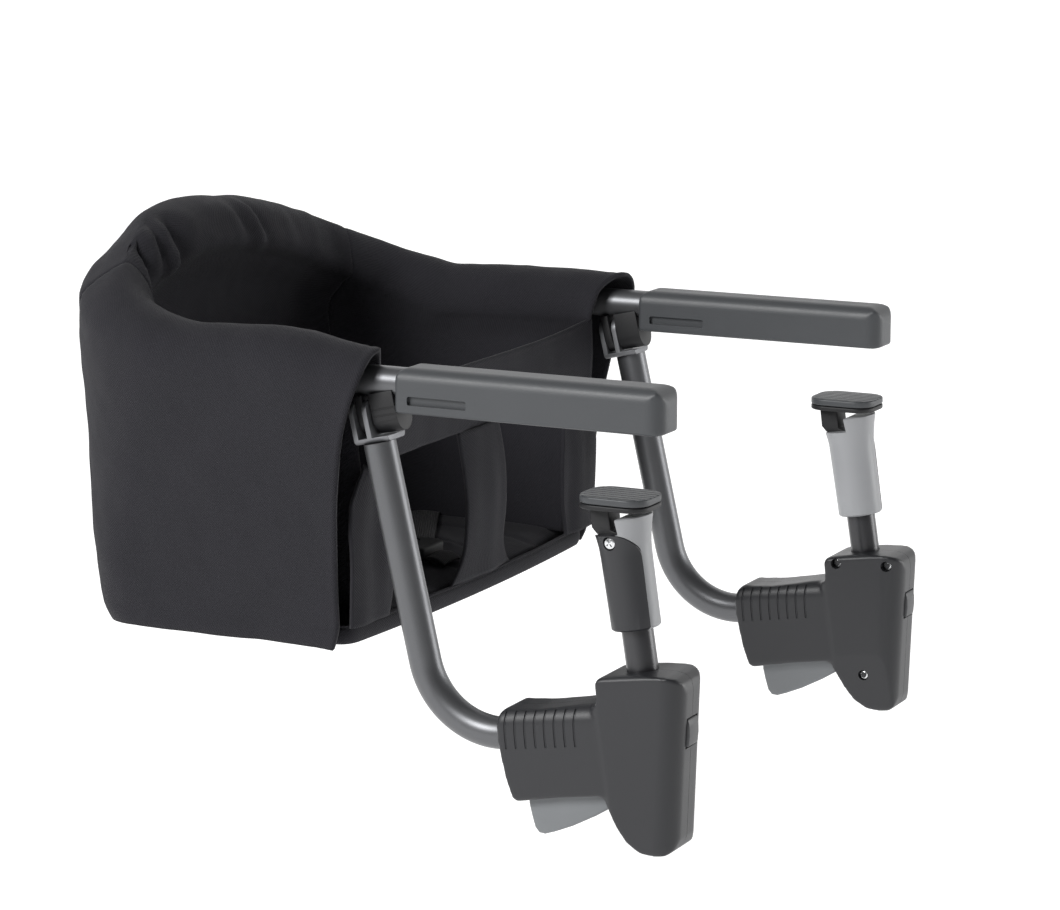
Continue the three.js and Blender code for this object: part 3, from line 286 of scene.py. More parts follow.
class StageSettings(bpy.types.PropertyGroup):
    floor_colour: FloatVectorProperty(
        name="Floor Colour", description="Colour of the floor", subtype="COLOR",
        default=(0.5, 0.5, 0.5), min=0, max=1)
    floor_glow: FloatProperty(
        name="Floor Glow", description="How much light the floor gives by itself",
        default=0.85, min=0, max=2)
    key_power: FloatProperty(
        name="Key Power", description="Power of the main soft light", subtype="POWER",
        default=120.0, min=0, max=500)


# ---- shader values ----
class Value:
    """A number or vector in a material, which Python's operators extend with Math nodes."""

    def __init__(self, shader, socket):
        self.shader = shader
        self.socket = socket

    def math(self, operation, *values):
        sockets = dict(enumerate(values))
        return self.shader.node("ShaderNodeMath", {"operation": operation}, sockets)

    def __add__(self, other):
        return self.math("ADD", self, other)

    def __sub__(self, other):
        return self.math("SUBTRACT", self, other)

    def __rsub__(self, other):
        return self.math("SUBTRACT", other, self)

    def __mul__(self, other):
        return self.math("MULTIPLY", self, other)

    def sine(self):
        return self.math("SINE", self)

    def size(self):
        return self.math("ABSOLUTE", self)

    __radd__ = __add__
    __rmul__ = __mul__


class Shader:
    """A node material: one method adds every node and hands back its output as a Value."""

    def __init__(self, name, roughness, metallic=0.0, **constants):
        self.material = bpy.data.materials.new(name)
        self.material.use_nodes = True
        self.tree = self.material.node_tree
        self.surface = self.tree.nodes["Principled BSDF"]
        self.feed("Roughness", roughness)
        self.feed("Metallic", metallic)
        for socket, value in constants.items():
            self.feed(socket.replace("_", " "), value)

    def node(self, kind, settings=None, sockets=None, output=0):
        made = self.tree.nodes.new(kind)
        for key, value in (settings or {}).items():
            setattr(made, key, value)
        for key, value in (sockets or {}).items():
            self.connect(made.inputs[key], value)
        return Value(self, made.outputs[output])

    def connect(self, socket, value):
        if isinstance(value, Value):
            self.tree.links.new(value.socket, socket)
        elif socket.type == "RGBA":
            socket.default_value = (*value, 1)
        else:
            socket.default_value = value

    def feed(self, socket, value):
        self.connect(self.surface.inputs[socket], value)

    def bump(self, height, distance):
        sockets = {"Height": height, "Distance": distance, "Strength": 1.0}
        self.feed("Normal", self.node("ShaderNodeBump", None, sockets))

    def place(self):
        return self.node("ShaderNodeTexCoord", None, None, "Object")

    def cloth_place(self):
        return self.node("ShaderNodeUVMap", {"uv_map": "cloth"})

    def speckle(self, place, scale, detail=2.0):
        sockets = {"Vector": place, "Scale": scale, "Detail": detail}
        return self.node("ShaderNodeTexNoise", None, sockets, "Fac")

    def mixed(self, share, first, second):
        """Two colours mixed; the node's colour sockets have numbers of their own."""
        sockets = {"Factor": share, 6: first, 7: second}
        return self.node("ShaderNodeMix", {"data_type": "RGBA"}, sockets, 2)

    def parts(self, vector):
        made = self.node("ShaderNodeSeparateXYZ", None, {0: vector})
        outputs = made.socket.node.outputs
        return [Value(self, outputs[axis]) for axis in range(3)]


def shade(colour, factor):
    return tuple(channel * factor for channel in colour)


def woven(name, colour, pitch, relief):
    """A plain weave on the piece's own cloth map, with uneven threads and faint slubs."""
    shader = Shader(name, 0.9, Specular_IOR_Level=0.2, Sheen_Weight=0.04, Sheen_Roughness=0.5)
    along, across, _ = shader.parts(shader.cloth_place())
    wave = math.pi / pitch
    thread = (along * wave).sine() * (across * wave).sine()
    body = shader.place()
    cloud = shader.speckle(body, 22.0, 3.0)
    slub = shader.speckle(body, 420.0)
    uneven = shader.mixed(cloud, shade(colour, 0.86), shade(colour, 1.16))
    shader.feed("Base Color", shader.mixed(slub * 0.45, uneven, shade(colour, 1.55)))
    shader.bump(thread * 0.5 + slub * 0.7, relief)
    return shader.material


def ribbed(name, colour, pitch):
    """Narrow webbing: lengthwise ribs crossed by fine picks, with painted shade between the ribs.
    """
    shader = Shader(name, 0.8, Specular_IOR_Level=0.3, Sheen_Weight=0.1)
    along, across, _ = shader.parts(shader.cloth_place())
    wave = math.pi / pitch
    ribs = (across * wave).sine().size()
    picks = (along * (wave * 1.6)).sine().size()
    grain = shader.speckle(shader.place(), 300.0)
    # Darker where the ribs dip: painted shade in the valleys, with the grain's random tone in it
    shader.feed("Base Color", shader.mixed(ribs * 0.5 + grain * 0.4, shade(colour, 0.7), colour))
    shader.bump(ribs + picks * 0.4, 0.0004)
    return shader.material


def moulded(name, colour, roughness, grain, relief):
    """Moulded plastic with a fine spark-eroded grain and slight wear."""
    shader = Shader(name, roughness, Specular_IOR_Level=0.45)
    body = shader.place()
    fine = shader.speckle(body, grain)
    cloud = shader.speckle(body, 28.0, 3.0)
    shader.feed("Base Color", shader.mixed(cloud, shade(colour, 0.92), shade(colour, 1.09)))
    shader.feed("Roughness", cloud * 0.12 + fine * 0.1 + (roughness - 0.11))
    shader.bump(fine, relief)
    return shader.material


def painted(name, colour, roughness, metallic):
    """Metallic paint with a faint flake and a slow orange peel."""
    shader = Shader(name, roughness, metallic, Coat_Weight=0.15, Coat_Roughness=0.25)
    body = shader.place()
    flake = shader.speckle(body, 2600.0, 1.0)
    peel = shader.speckle(body, 60.0, 2.0)
    shader.feed("Base Color", shader.mixed(flake, shade(colour, 0.88), shade(colour, 1.14)))
    shader.feed("Roughness", peel * 0.08 + flake * 0.08 + (roughness - 0.08))
    shader.bump(peel * 0.4 + flake * 0.25, 0.00006)
    return shader.material


def plated(name, colour, roughness):
    """Zinc plated steel with fine turning marks."""
    shader = Shader(name, roughness, 1.0)
    body = shader.place()
    marks = shader.speckle(body, 900.0, 3.0)
    shader.feed("Base Color", shader.mixed(marks, shade(colour, 0.8), colour))
    shader.feed("Roughness", marks * 0.2 + (roughness - 0.1))
    shader.bump(marks, 0.00004)
    return shader.material


def foamed(name, colour):
    """Closed cell foam, with painted shade in the hollows of its cells."""
    shader = Shader(name, 0.95)
    cells = shader.node("ShaderNodeTexVoronoi", None, {"Vector": shader.place(), "Scale": 700.0})
    # Darker at each cell's middle, where the bump is lowest: painted shade in the cells' hollows
    shader.feed("Base Color", shader.mixed(cells, shade(colour, 0.75), shade(colour, 1.15)))
    shader.bump(cells, 0.0003)
    return shader.material


FINISHES = {}


def finish_for(slot):
    """The finish of a material slot or of a piece with its own, made when first asked for."""
    if slot in FINISHES:
        return FINISHES[slot]
    seat, clamp = bpy.context.scene.chair_seat, bpy.context.scene.chair_clamp
    fabric, plastic, paint = (tuple(colour) for colour in (
        seat.fabric_colour, clamp.plastic_colour, clamp.tube_colour))
    recipes = {
        "seat_fabric": (woven, "seat_weave", fabric, seat.weave_pitch, 0.00028),
        "webbing": (ribbed, "harness_webbing", (0.012, 0.012, 0.014), 0.0016),
        "dark_plastic": (moulded, "housing_plastic", plastic, 0.4, 1500, 0.00005),
        "black_plastic": (moulded, "black_plastic", (0.005, 0.005, 0.006), 0.55, 1400, 0.00006),
        "button_plastic": (moulded, "button_plastic", (0.036, 0.037, 0.04), 0.4, 1500, 0.00004),
        "pale_plastic": (moulded, "pale_plastic", (0.15, 0.158, 0.165), 0.42, 1500, 0.00004),
        "boot_plastic": (moulded, "boot_plastic", (0.27, 0.275, 0.285), 0.4, 1500, 0.00004),
        "grip_rubber": (moulded, "grip_rubber", (0.048, 0.051, 0.055), 0.46, 1100, 0.00008),
        "stiffener": (moulded, "board_plastic", (0.15, 0.12, 0.085), 0.7, 500, 0.0001),
        "steel_tube": (painted, "tube_paint", paint, 0.4, 0.75),
        "fork_steel": (painted, "fork_paint", shade(paint, 1.4), 0.5, 0.6),
        "rod_steel": (painted, "rod_paint", (0.035, 0.035, 0.038), 0.3, 0.4),
        "bare_steel": (plated, "zinc_plate", (0.72, 0.73, 0.74), 0.24),
        "foam": (foamed, "sleeve_foam", (0.1, 0.1, 0.11)),
    }
    make, *values = recipes[slot]
    FINISHES[slot] = make(*values)
    return FINISHES[slot]


# ---- frames of the folding arms ----
def frame_at(x, y, z, angle):
    return Matrix.Translation((x, y, z)) @ Matrix.Rotation(angle, 4, "Y")


def bend_point(angle):
    """The lower arm's middle line in its bend, as x and z in the hinge's frame."""
    x = ARM_OFFSET + BEND_RADIUS * (1 - math.cos(angle))
    return x, SHANK_FOOT - BEND_RADIUS * math.sin(angle)


def clamp_frame():
    """The clamp's frame in the hinge's, ahead of the bend's end."""
    x, z = bend_point(ARM_BEND)
    c, s = math.cos(CLAMP_TURN), math.sin(CLAMP_TURN)
    return frame_at(
        x + CLAMP_AHEAD * c + CLAMP_ABOVE * s, -ARM_OUTSET,
        z - CLAMP_AHEAD * s + CLAMP_ABOVE * c, CLAMP_TURN)


CHAIR = Matrix.Identity(4)
HINGE = frame_at(-25, -ARM_HALF, -8, -ARM_LEAN)
CLAMP = HINGE @ clamp_frame()
FOOT = CLAMP @ frame_at(ROD_OFFSET, 0, SLEEVE_BOTTOM, 0)
HEAD = FOOT @ frame_at(PIVOT[0], 0, PIVOT[1], ARM_LEAN - CLAMP_TURN)


# ---- mesh helpers ----
def outline(shares, corner, size):
    """Points from shares of an outline's own width and height."""
    return [(corner[0] + u * size[0], corner[1] + v * size[1]) for u, v in shares]


def spot_on(axis, along, u, v):
    """A point from its place along an axis and its two places across it."""
    return {"x": (along, u, v), "y": (u, along, v), "z": (u, v, along)}[axis]


def moved_verts(grown):
    return [v for v in grown["geom"] if isinstance(v, bmesh.types.BMVert)]


def prism(points, axis, low, high):
    """A flat outline in (x, z), (y, z) or (x, y), carried along the third axis."""
    bm = bmesh.new()
    face = bm.faces.new([bm.verts.new(spot_on(axis, low, u, v)) for u, v in points])
    grown = bmesh.ops.extrude_face_region(bm, geom=[face])
    step = spot_on(axis, high - low, 0, 0)
    bmesh.ops.translate(bm, verts=moved_verts(grown), vec=step)
    bmesh.ops.recalc_face_normals(bm, faces=bm.faces)
    return bm


def arc(centre, radius, start, end, steps):
    """Points of an arc between two angles in degrees."""
    for i in range(steps + 1):
        angle = math.radians(start + (end - start) * i / steps)
        yield centre[0] + radius * math.cos(angle), centre[1] + radius * math.sin(angle)


def rounded(us, vs, radii, steps=6):
    """A rectangle's outline, its radii given for each corner from the low one on."""
    a, b, c, d = radii
    corners = (
        (us[1] - b, vs[0] + b, b, -90), (us[1] - c, vs[1] - c, c, 0),
        (us[0] + d, vs[1] - d, d, 90), (us[0] + a, vs[0] + a, a, 180))
    return [
        point for u, v, radius, start in corners
        for point in arc((u, v), radius, start, start + 90, steps)]


def block(xs, ys, zs):
    """A box between two places on each axis."""
    bm = bmesh.new()
    bmesh.ops.create_cube(bm, size=1)
    bmesh.ops.scale(bm, verts=bm.verts, vec=(xs[1] - xs[0], ys[1] - ys[0], zs[1] - zs[0]))
    middle = [(low + high) / 2 for low, high in (xs, ys, zs)]
    bmesh.ops.translate(bm, verts=bm.verts, vec=middle)
    return bm


def rod(axis, centre, radius, low, high, sides):
    """A cylinder along an axis, between two places on it."""
    bm = bmesh.new()
    bmesh.ops.create_cone(
        bm, cap_ends=True, segments=sides, radius1=radius, radius2=radius, depth=high - low)
    turn = {"x": Matrix.Rotation(math.pi / 2, 4, "Y"), "y": Matrix.Rotation(-math.pi / 2, 4, "X")}
    bmesh.ops.transform(bm, matrix=turn.get(axis, CHAIR), verts=bm.verts)
    bmesh.ops.translate(bm, verts=bm.verts, vec=spot_on(axis, (low + high) / 2, *centre))
    return bm


def spun(profile, sides=64):
    """A solid of revolution about Z from (radius, height) pairs."""
    bm = bmesh.new()
    verts = [bm.verts.new((radius, 0, height)) for radius, height in profile]
    edges = [bm.edges.new(pair) for pair in zip(verts, verts[1:])]
    bmesh.ops.spin(
        bm, geom=verts + edges, axis=(0, 0, 1), cent=(0, 0, 0), angle=math.tau, steps=sides,
        use_merge=True)
    bmesh.ops.remove_doubles(bm, verts=bm.verts, dist=0.0001)
    bmesh.ops.recalc_face_normals(bm, faces=bm.faces)
    return bm


def soften(bm, width, segments=2, angle=30):
    """Rounds the edges that are sharper than an angle."""
    sharp = [
        e for e in bm.edges
        if len(e.link_faces) == 2 and e.calc_face_angle(0) > math.radians(angle)
    ]
    bmesh.ops.bevel(
        bm, geom=sharp, offset=width, segments=segments, profile=0.5, affect="EDGES",
        material=-1, clamp_overlap=True)
    return bm


def draft(bm):
    """A throwaway object that holds a mesh while modifiers work on it."""
    mesh = bpy.data.meshes.new("draft")
    bm.to_mesh(mesh)
    bm.free()
    made = bpy.data.objects.new("draft", mesh)
    bpy.context.scene.collection.objects.link(made)
    return made


def discard(made):
    """Removes an object and its data."""
    data, kept_in = made.data, bpy.data.meshes if made.type == "MESH" else bpy.data.curves
    bpy.data.objects.remove(made)
    kept_in.remove(data)


def evaluated_mesh(made):
    """The mesh that an object has with its modifiers applied."""
    return made.evaluated_get(bpy.context.evaluated_depsgraph_get()).to_mesh()


def settled(made):
    """The object's mesh with its modifiers applied, as a new bmesh; the object is removed."""
    bm = bmesh.new()
    bm.from_mesh(evaluated_mesh(made))
    discard(made)
    return bm


def resized(bm, factor):
    bmesh.ops.scale(bm, verts=bm.verts, vec=(factor,) * 3)
    return bm


def joined(*parts):
    """Several meshes as one."""
    whole = bmesh.new()
    for part in parts:
        mesh = bpy.data.meshes.new("part")
        part.to_mesh(mesh)
        part.free()
        whole.from_mesh(mesh)
        bpy.data.meshes.remove(mesh)
    return whole


def combined(first, operation, *others):
    """The first mesh with the others cut from it, added to it or shared with it."""
    for other in others:
        base, tool = draft(first), draft(other)
        step = base.modifiers.new("step", "BOOLEAN")
        step.operation, step.object, step.solver = operation, tool, "EXACT"
        first = settled(base)
        discard(tool)
    return first


def cut(first, *others):
    return combined(first, "DIFFERENCE", *others)


def shared(first, *others):
    return combined(first, "INTERSECT", *others)


def eased(bm, voxel, rounds):
    """A moulded form: an even skin over the mesh, with every edge rounded off."""
    made = draft(resized(bm, MM))
    even = made.modifiers.new("even", "REMESH")
    even.mode, even.voxel_size = "VOXEL", voxel * MM
    smooth = made.modifiers.new("smooth", "SMOOTH")
    smooth.factor, smooth.iterations = 0.5, rounds
    return resized(settled(made), 1 / MM)


def shown(name, bm, finish, crease=None):
    """A smooth object of a mesh, with edges sharper than the crease kept sharp."""
    mesh = bpy.data.meshes.new(name)
    bm.to_mesh(mesh)
    bm.free()
    mesh.shade_smooth()
    if crease:
        mesh.set_sharp_from_angle(angle=math.radians(crease))
    mesh.materials.append(finish)
    made = bpy.data.objects.new(name, mesh)
    bpy.context.scene.collection.objects.link(made)
    return made


def dress(name, bm, slot, body, replaces=(), place=CHAIR, side="right", crease=32, finish=None):
    """Makes a finished piece of a right-hand mesh in millimetres: placed, sent to its side of
    the chair, coloured and riding a body."""
    bmesh.ops.transform(bm, matrix=Matrix.Scale(MM, 4) @ place, verts=bm.verts)
    if side == "left":
        bmesh.ops.scale(bm, verts=bm.verts, vec=(1, -1, 1))
        bmesh.ops.reverse_faces(bm, faces=bm.faces)
    made = shown(name, bm, finish_for(finish or slot), crease)
    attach(made, body)
    if replaces:
        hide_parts(*replaces)
    return made


def tube(points, radius, resolution=12, caps=True):
    """A round tube along a line of points."""
    curve = bpy.data.curves.new("tube", "CURVE")
    curve.dimensions = "3D"
    curve.bevel_depth = radius
    curve.bevel_resolution = resolution
    curve.use_fill_caps = caps
    line = curve.splines.new("POLY")
    line.points.add(len(points) - 1)
    for spot, point in zip(line.points, points):
        spot.co = (*point, 1)
    holder = bpy.data.objects.new("tube", curve)
    bpy.context.scene.collection.objects.link(holder)
    bm = settled(holder)
    bmesh.ops.remove_doubles(bm, verts=bm.verts, dist=0.001)
    bmesh.ops.recalc_face_normals(bm, faces=bm.faces)
    return bm


# ---- paths of the hoop and the cover ----
def on_right(u):
    """Places of the hoop's left half, mirrored to its right half."""
    return np.where(u > 3, 6 - u, u)


def bell(value):
    return np.exp(-value ** 2)


def ring_plan(ring, u):
    """Plan points of rings (rows of half, back, corner, ..., front) at places u of the hoop."""
    half, back, corner, front = ring[..., 0], ring[..., 1], ring[..., 2], ring[..., 6]
    mirrored = on_right(u)
    corner_x, corner_y = -back + corner, -half + corner
    turn = np.clip(mirrored - 1, 0, 1) * math.pi / 2
    x = np.where(
        mirrored <= 1, front + (corner_x - front) * np.clip(mirrored, 0, 1),
        corner_x - corner * np.sin(turn))
    y = np.where(
        mirrored <= 1, -half,
        np.where(mirrored <= 2, corner_y - corner * np.cos(turn), corner_y * (3 - mirrored)))
    return x, np.where(u > 3, -y, y)


def hoop_lift(u):
    """How far the hoop has risen at u."""
    half = on_right(u)
    straight = HOOP_BACK - HOOP_CORNER - RISE_START
    bend = HOOP_CORNER * math.pi / 2
    back_half = ARM_HALF - HOOP_CORNER
    side_x = TUBE_ENTRY - (HOOP_BACK - HOOP_CORNER + TUBE_ENTRY) * half
    travelled = np.where(
        half <= 1, -side_x - RISE_START,
        np.where(half <= 2, straight + (half - 1) * bend, straight + bend + (half - 2) * back_half))
    share = np.clip(travelled, 0, None) / (straight + bend + back_half)
    return HOOP_RISE * np.sin(np.clip(share, 0, 1) * math.pi / 2) ** RISE_SHARPNESS


def hoop_places():
    half = np.concatenate([np.linspace(0, 1, 24)[:-1], np.linspace(1, 3, 48)])
    return np.concatenate([half, 6 - half[-2::-1]])


def hoop_points(height, front=TUBE_ENTRY):
    """Points along the hoop's middle line, whose sides may start further back than the tube."""
    us = hoop_places()
    x, y = ring_plan(np.array([ARM_HALF, HOOP_BACK, HOOP_CORNER, 0, 1, 0, front], float), us)
    half = on_right(us)
    same = np.where(half <= 1, (TUBE_ENTRY - x) / (HOOP_BACK - HOOP_CORNER + TUBE_ENTRY), half)
    return [(a, b, height + lift) for a, b, lift in zip(x, y, hoop_lift(same))]


def smooth_rings(v):
    """The cover's rings at places v between them, on a curve through all of them."""
    last = len(RINGS) - 1
    i = np.clip(np.floor(v).astype(int), 0, last - 1)
    t = (v - i)[:, None]
    p0, p1 = RINGS[np.clip(i - 1, 0, last)], RINGS[i]
    p2, p3 = RINGS[np.clip(i + 1, 0, last)], RINGS[np.clip(i + 2, 0, last)]
    return 0.5 * (
        2 * p1 + (p2 - p0) * t + (2 * p0 - 5 * p1 + 4 * p2 - p3) * t ** 2
        + (3 * p1 - p0 - 3 * p2 + p3) * t ** 3)


def pucker_at(u):
    """How far the gathered cover swells out round the corners."""
    place = np.clip((on_right(u) - 1) / 1.5, 0, 1)
    return PUCKER_DEPTH * np.sin(place * 3 * math.pi) ** 2 * np.sin(place * math.pi)


def cover_points(u, v):
    """The cover's bare surface in millimetres, on a grid of u by v."""
    rings = smooth_rings(v)[None, :, :].repeat(len(u), 0)
    grid_u = u[:, None].repeat(len(v), 1)
    depth = rings[..., 5] * pucker_at(grid_u)
    tuck = np.interp(v, np.arange(len(RINGS)), TUCK_SHARES)[None, :]
    for place, deepest, reach in TUCKS:
        depth = depth - deepest * tuck * bell((grid_u - place) / reach)
    grown = rings.copy()
    grown[..., :3] += depth[..., None]
    x, y = ring_plan(grown, grid_u)
    rim = np.interp(grid_u, RIM_PLACES, RIM_LIFTS)
    place, lift, reach = SHOULDER
    shoulder = np.interp(v, SHOULDER_RINGS, SHOULDER_SHARES)[None, :]
    z = grown[..., 3] + grown[..., 4] * (hoop_lift(grid_u) + rim)
    z = z + lift * shoulder * bell((grid_u - place) / reach)
    return np.stack([x, y, z], -1)


def travelled_along(points, axis):
    """How far each point is along its line of a grid."""
    steps = np.linalg.norm(np.diff(points, axis=axis), axis=-1)
    start = np.zeros_like(np.take(steps, [0], axis=axis))
    return np.concatenate([start, np.cumsum(steps, axis=axis)], axis=axis)


def even_places(line, values, pitch):
    """Values spaced evenly along a line of points."""
    travelled = travelled_along(line, 0)
    count = max(int(round(travelled[-1] / pitch)), 2)
    return np.interp(np.linspace(0, travelled[-1], count + 1), travelled, values)


def grid_normals(points):
    normal = np.cross(np.gradient(points, axis=1), np.gradient(points, axis=0))
    return normal / np.maximum(np.linalg.norm(normal, axis=-1, keepdims=True), 1e-9)


def drifting(points, scale, seed):
    """Smooth noise at each point of a grid, about -1 to 1."""
    flat = points.reshape(-1, 3) * scale + seed
    values = [noise.noise(Vector(p)) for p in flat]
    return np.array(values).reshape(points.shape[:-1])


def draped(points, across, up):
    """A sheet over a grid of points in millimetres, with its cloth map in metres."""
    bm = bmesh.new()
    columns, rows = points.shape[0] - 1, points.shape[1] - 1
    bmesh.ops.create_grid(bm, x_segments=columns, y_segments=rows, size=1)
    layer = bm.loops.layers.uv.new("cloth")
    spots = {
        vert: (round((vert.co.x + 1) / 2 * columns), round((vert.co.y + 1) / 2 * rows))
        for vert in bm.verts}
    for face in bm.faces:
        for loop in face.loops:
            spot = spots[loop.vert]
            loop[layer].uv = (across[spot] * MM, up[spot] * MM)
    for vert, spot in spots.items():
        vert.co = points[spot]
    return bm


def lined(made, thickness):
    """Gives a sheet its thickness, inwards."""
    wall = made.modifiers.new("cloth", "SOLIDIFY")
    wall.thickness = thickness * MM
    wall.offset = -1
    wall.use_even_offset = False
    wall.use_rim = True


def hem_relief(distance, width, lift, groove):
    """Height of a folded hem at a distance from its edge, with its stitched groove."""
    raised = lift / (1 + np.exp(np.clip((distance - width) * 1.6, -40, 40)))
    return raised - groove * bell(distance - width + HEM_GROOVE)


def stitches(line, normals, pitch, length, thickness):
    """Short threads along a line of points."""
    whole = bmesh.new()
    travelled = travelled_along(line, 0)

    def at(values, place):
        return Vector([np.interp(place, travelled, values[:, axis]) for axis in range(3)])

    for k in range(int(travelled[-1] / pitch)):
        spot = (k + 0.5) * pitch
        here = at(line, spot)
        along = (at(line, spot + 0.5) - here).normalized()
        sideways = at(normals, spot).normalized().cross(along).normalized()
        turn = Matrix((along, sideways, along.cross(sideways))).transposed().to_4x4()
        thread = bmesh.ops.create_uvsphere(whole, u_segments=6, v_segments=4, radius=0.5)["verts"]
        size = Matrix.Diagonal((length, thickness, thickness * 0.8, 1))
        bmesh.ops.transform(whole, matrix=Matrix.Translation(here) @ turn @ size, verts=thread)
    return whole


# ---- seat ----
def cover_panel(start, end, pitch):
    """One panel of the cover: its grid of points, with folds, seams and hems in it."""
    fold = bpy.context.scene.chair_seat.fold_depth / MM
    fine_u = np.linspace(start, end, 400)
    u = even_places(cover_points(fine_u, np.array([8.0]))[:, 0], fine_u, pitch)
    fine_v = np.linspace(0, len(RINGS) - 1, 600)
    middle = np.array([(start + end) / 2])
    v = even_places(cover_points(middle, fine_v)[0], fine_v, pitch)
    bare = cover_points(u, v)
    normals = grid_normals(bare)
    across, up = travelled_along(bare, 0), travelled_along(bare, 1)
    relief = fold * (drifting(bare, 0.011, 3.1) * 1.5 + drifting(bare, 0.028, 8.7) * 0.8)
    relief = relief + fold * 0.35 * drifting(bare, 0.08, 1.3)
    relief = relief + (folds(u, v) - creases(u, v, across)) * fold / FOLD_SETTING
    outside = np.clip((7 - v[None, :]) / 2, 0, 1)
    relief = relief + hem_relief(up, *BOTTOM_HEM) * outside
    for gap, at_front in ((across, start == 0), (across[-1:] - across, end == 6)):
        if at_front:
            relief = relief + hem_relief(gap, *FRONT_HEM)
        else:
            relief = relief - SEAM_DEPTH * bell(gap / 2)
    return bare + normals * relief[..., None], across, up, normals


def creases(u, v, across):
    """Folds that run over the roll where the cover is gathered round the corners."""
    gather = bell((u - 1.95) / 0.5) + 0.5 * bell((u - 3.4) / 0.35)
    band = bell((v - 12.4) / 1.7)
    spots = np.stack([
        across / 24 + 0.3 * (v - 12), np.broadcast_to(v * 0.3, across.shape),
        np.full(across.shape, 4.7)], -1)
    ridged = 1 - np.clip(np.abs(drifting(spots, 1.0, 0.3)) * 2.6, 0, 1)
    patchy = np.clip(0.75 + 1.4 * drifting(spots, 0.45, 7.9), 0.1, 1.6)
    return 1.5 * gather[:, None] * band[None, :] * ridged ** 1.6 * patchy


def folds(u, v):
    """The roll's larger folds, each a ridge with a sharp hollow beside it."""
    height = np.zeros((len(u), len(v)))
    for u0, v0, u1, v1, width, rise in FOLDS:
        middle = np.interp(v, (v0, v1), (u0, u1))[None, :]
        away = (u[:, None] - middle) / width
        shape = bell(away) - 0.7 * bell((away - 1.7) / 0.75)
        share = np.interp(v, (v0 - 0.8, v0 + 0.8, v1 - 1.2, v1 + 0.4), (0, 1, 1, 0))
        height = height + rise * shape * share[None, :]
    return height


class SEAT_OT_cover(bpy.types.Operator):
    """Makes the fabric cover: two side panels and the back, rolled over the hoop"""

    bl_idname = "chair.seat_cover"
    bl_label = "Seat Cover"

    def execute(self, context):
        panels = {
            "side_right": (0, SEAM_PLACE, (0.2, 0.42), "seat_side_right"),
            "back": (SEAM_PLACE, 6 - SEAM_PLACE, (0.32, 0.45), "seat_back"),
            "side_left": (6 - SEAM_PLACE, 6, (0.2, 0.42), "seat_side_left"),
        }
        for name, (start, end, flat, node) in panels.items():
            points, across, up, normals = cover_panel(start, end, COVER_PITCH)
            sheet = draped(points, across, up)
            made = dress(f"cover_{name}", sheet, "seat_fabric", "frame", [node])
            lined(made, COVER_THICKNESS)
            self.sew(name, points, normals, across, up)
        return {"FINISHED"}

    def sew(self, name, points, normals, across, up):
        """Threads in the grooves of the bottom hem and, on a side, of the front hem."""
        hem = np.argmin(np.abs(up[0] - BOTTOM_HEM[0] + HEM_GROOVE))
        rows = [(points[:, hem], normals[:, hem])]
        if name != "back":
            gaps = across if name == "side_right" else across[-1:] - across
            hem = np.argmin(np.abs(gaps[:, SEWN_ROW] - FRONT_HEM[0] + HEM_GROOVE))
            rows.append((points[hem], normals[hem]))
        threads = [stitches(line + out * 0.25, out, *HEM_STITCH) for line, out in rows]
        dress(f"stitching_{name}", joined(*threads), "webbing", "frame")


def base_outline(inset):
    """The base's plan, drawn in by an inset: a bowed front and round corners at the back."""
    half, back, front = BASE_HALF - inset, -BASE_BACK + inset, -BASE_FRONT - inset
    corner = max(BASE_CORNER - inset, BASE_NOSE)
    nose = max(BASE_NOSE - inset, BASE_NOSE / 2)
    ahead = front + BASE_BOW / 6
    bends = (
        ((front - nose, -half), (front, -half), (ahead, -half + nose), 8),
        ((ahead, -half + nose), (front + BASE_BOW * 2, 0), (ahead, half - nose), 48),
        ((ahead, half - nose), (front, half), (front - nose, half), 8))
    points = []
    for start, middle, end, steps in bends:
        for t in (i / steps for i in range(steps)):
            points.append(tuple(
                (1 - t) ** 2 * a + 2 * t * (1 - t) * b + t * t * c
                for a, b, c in zip(start, middle, end)))
    points += arc((back + corner, half - corner), corner, 90, 180, 10)
    points += arc((back + corner, -half + corner), corner, 180, 270, 10)
    return points


def stacked(rows):
    """A skin through the base's outline at rows of inset and height, its cloth map and loops."""
    bm = bmesh.new()
    layer = bm.loops.layers.uv.new("cloth")
    rings = [[bm.verts.new((x, y, z)) for x, y in base_outline(inset)] for inset, z in rows]
    edges = [
        [bm.edges.new(pair) for pair in zip(ring, ring[1:] + ring[:1])] for ring in rings]
    for low, high in zip(edges, edges[1:]):
        bmesh.ops.bridge_loops(bm, edges=low + high)
    return bm, layer, rings


def box_map(bm, layer):
    """A cloth map in metres from the two axes that each face lies along."""
    bm.normal_update()
    for face in bm.faces:
        n = [abs(c) for c in face.normal]
        for loop in face.loops:
            x, y, z = loop.vert.co
            pair = (x, y) if n[2] >= max(n[:2]) else ((y, z) if n[0] > n[1] else (x, z))
            loop[layer].uv = (pair[0] * MM, pair[1] * MM)


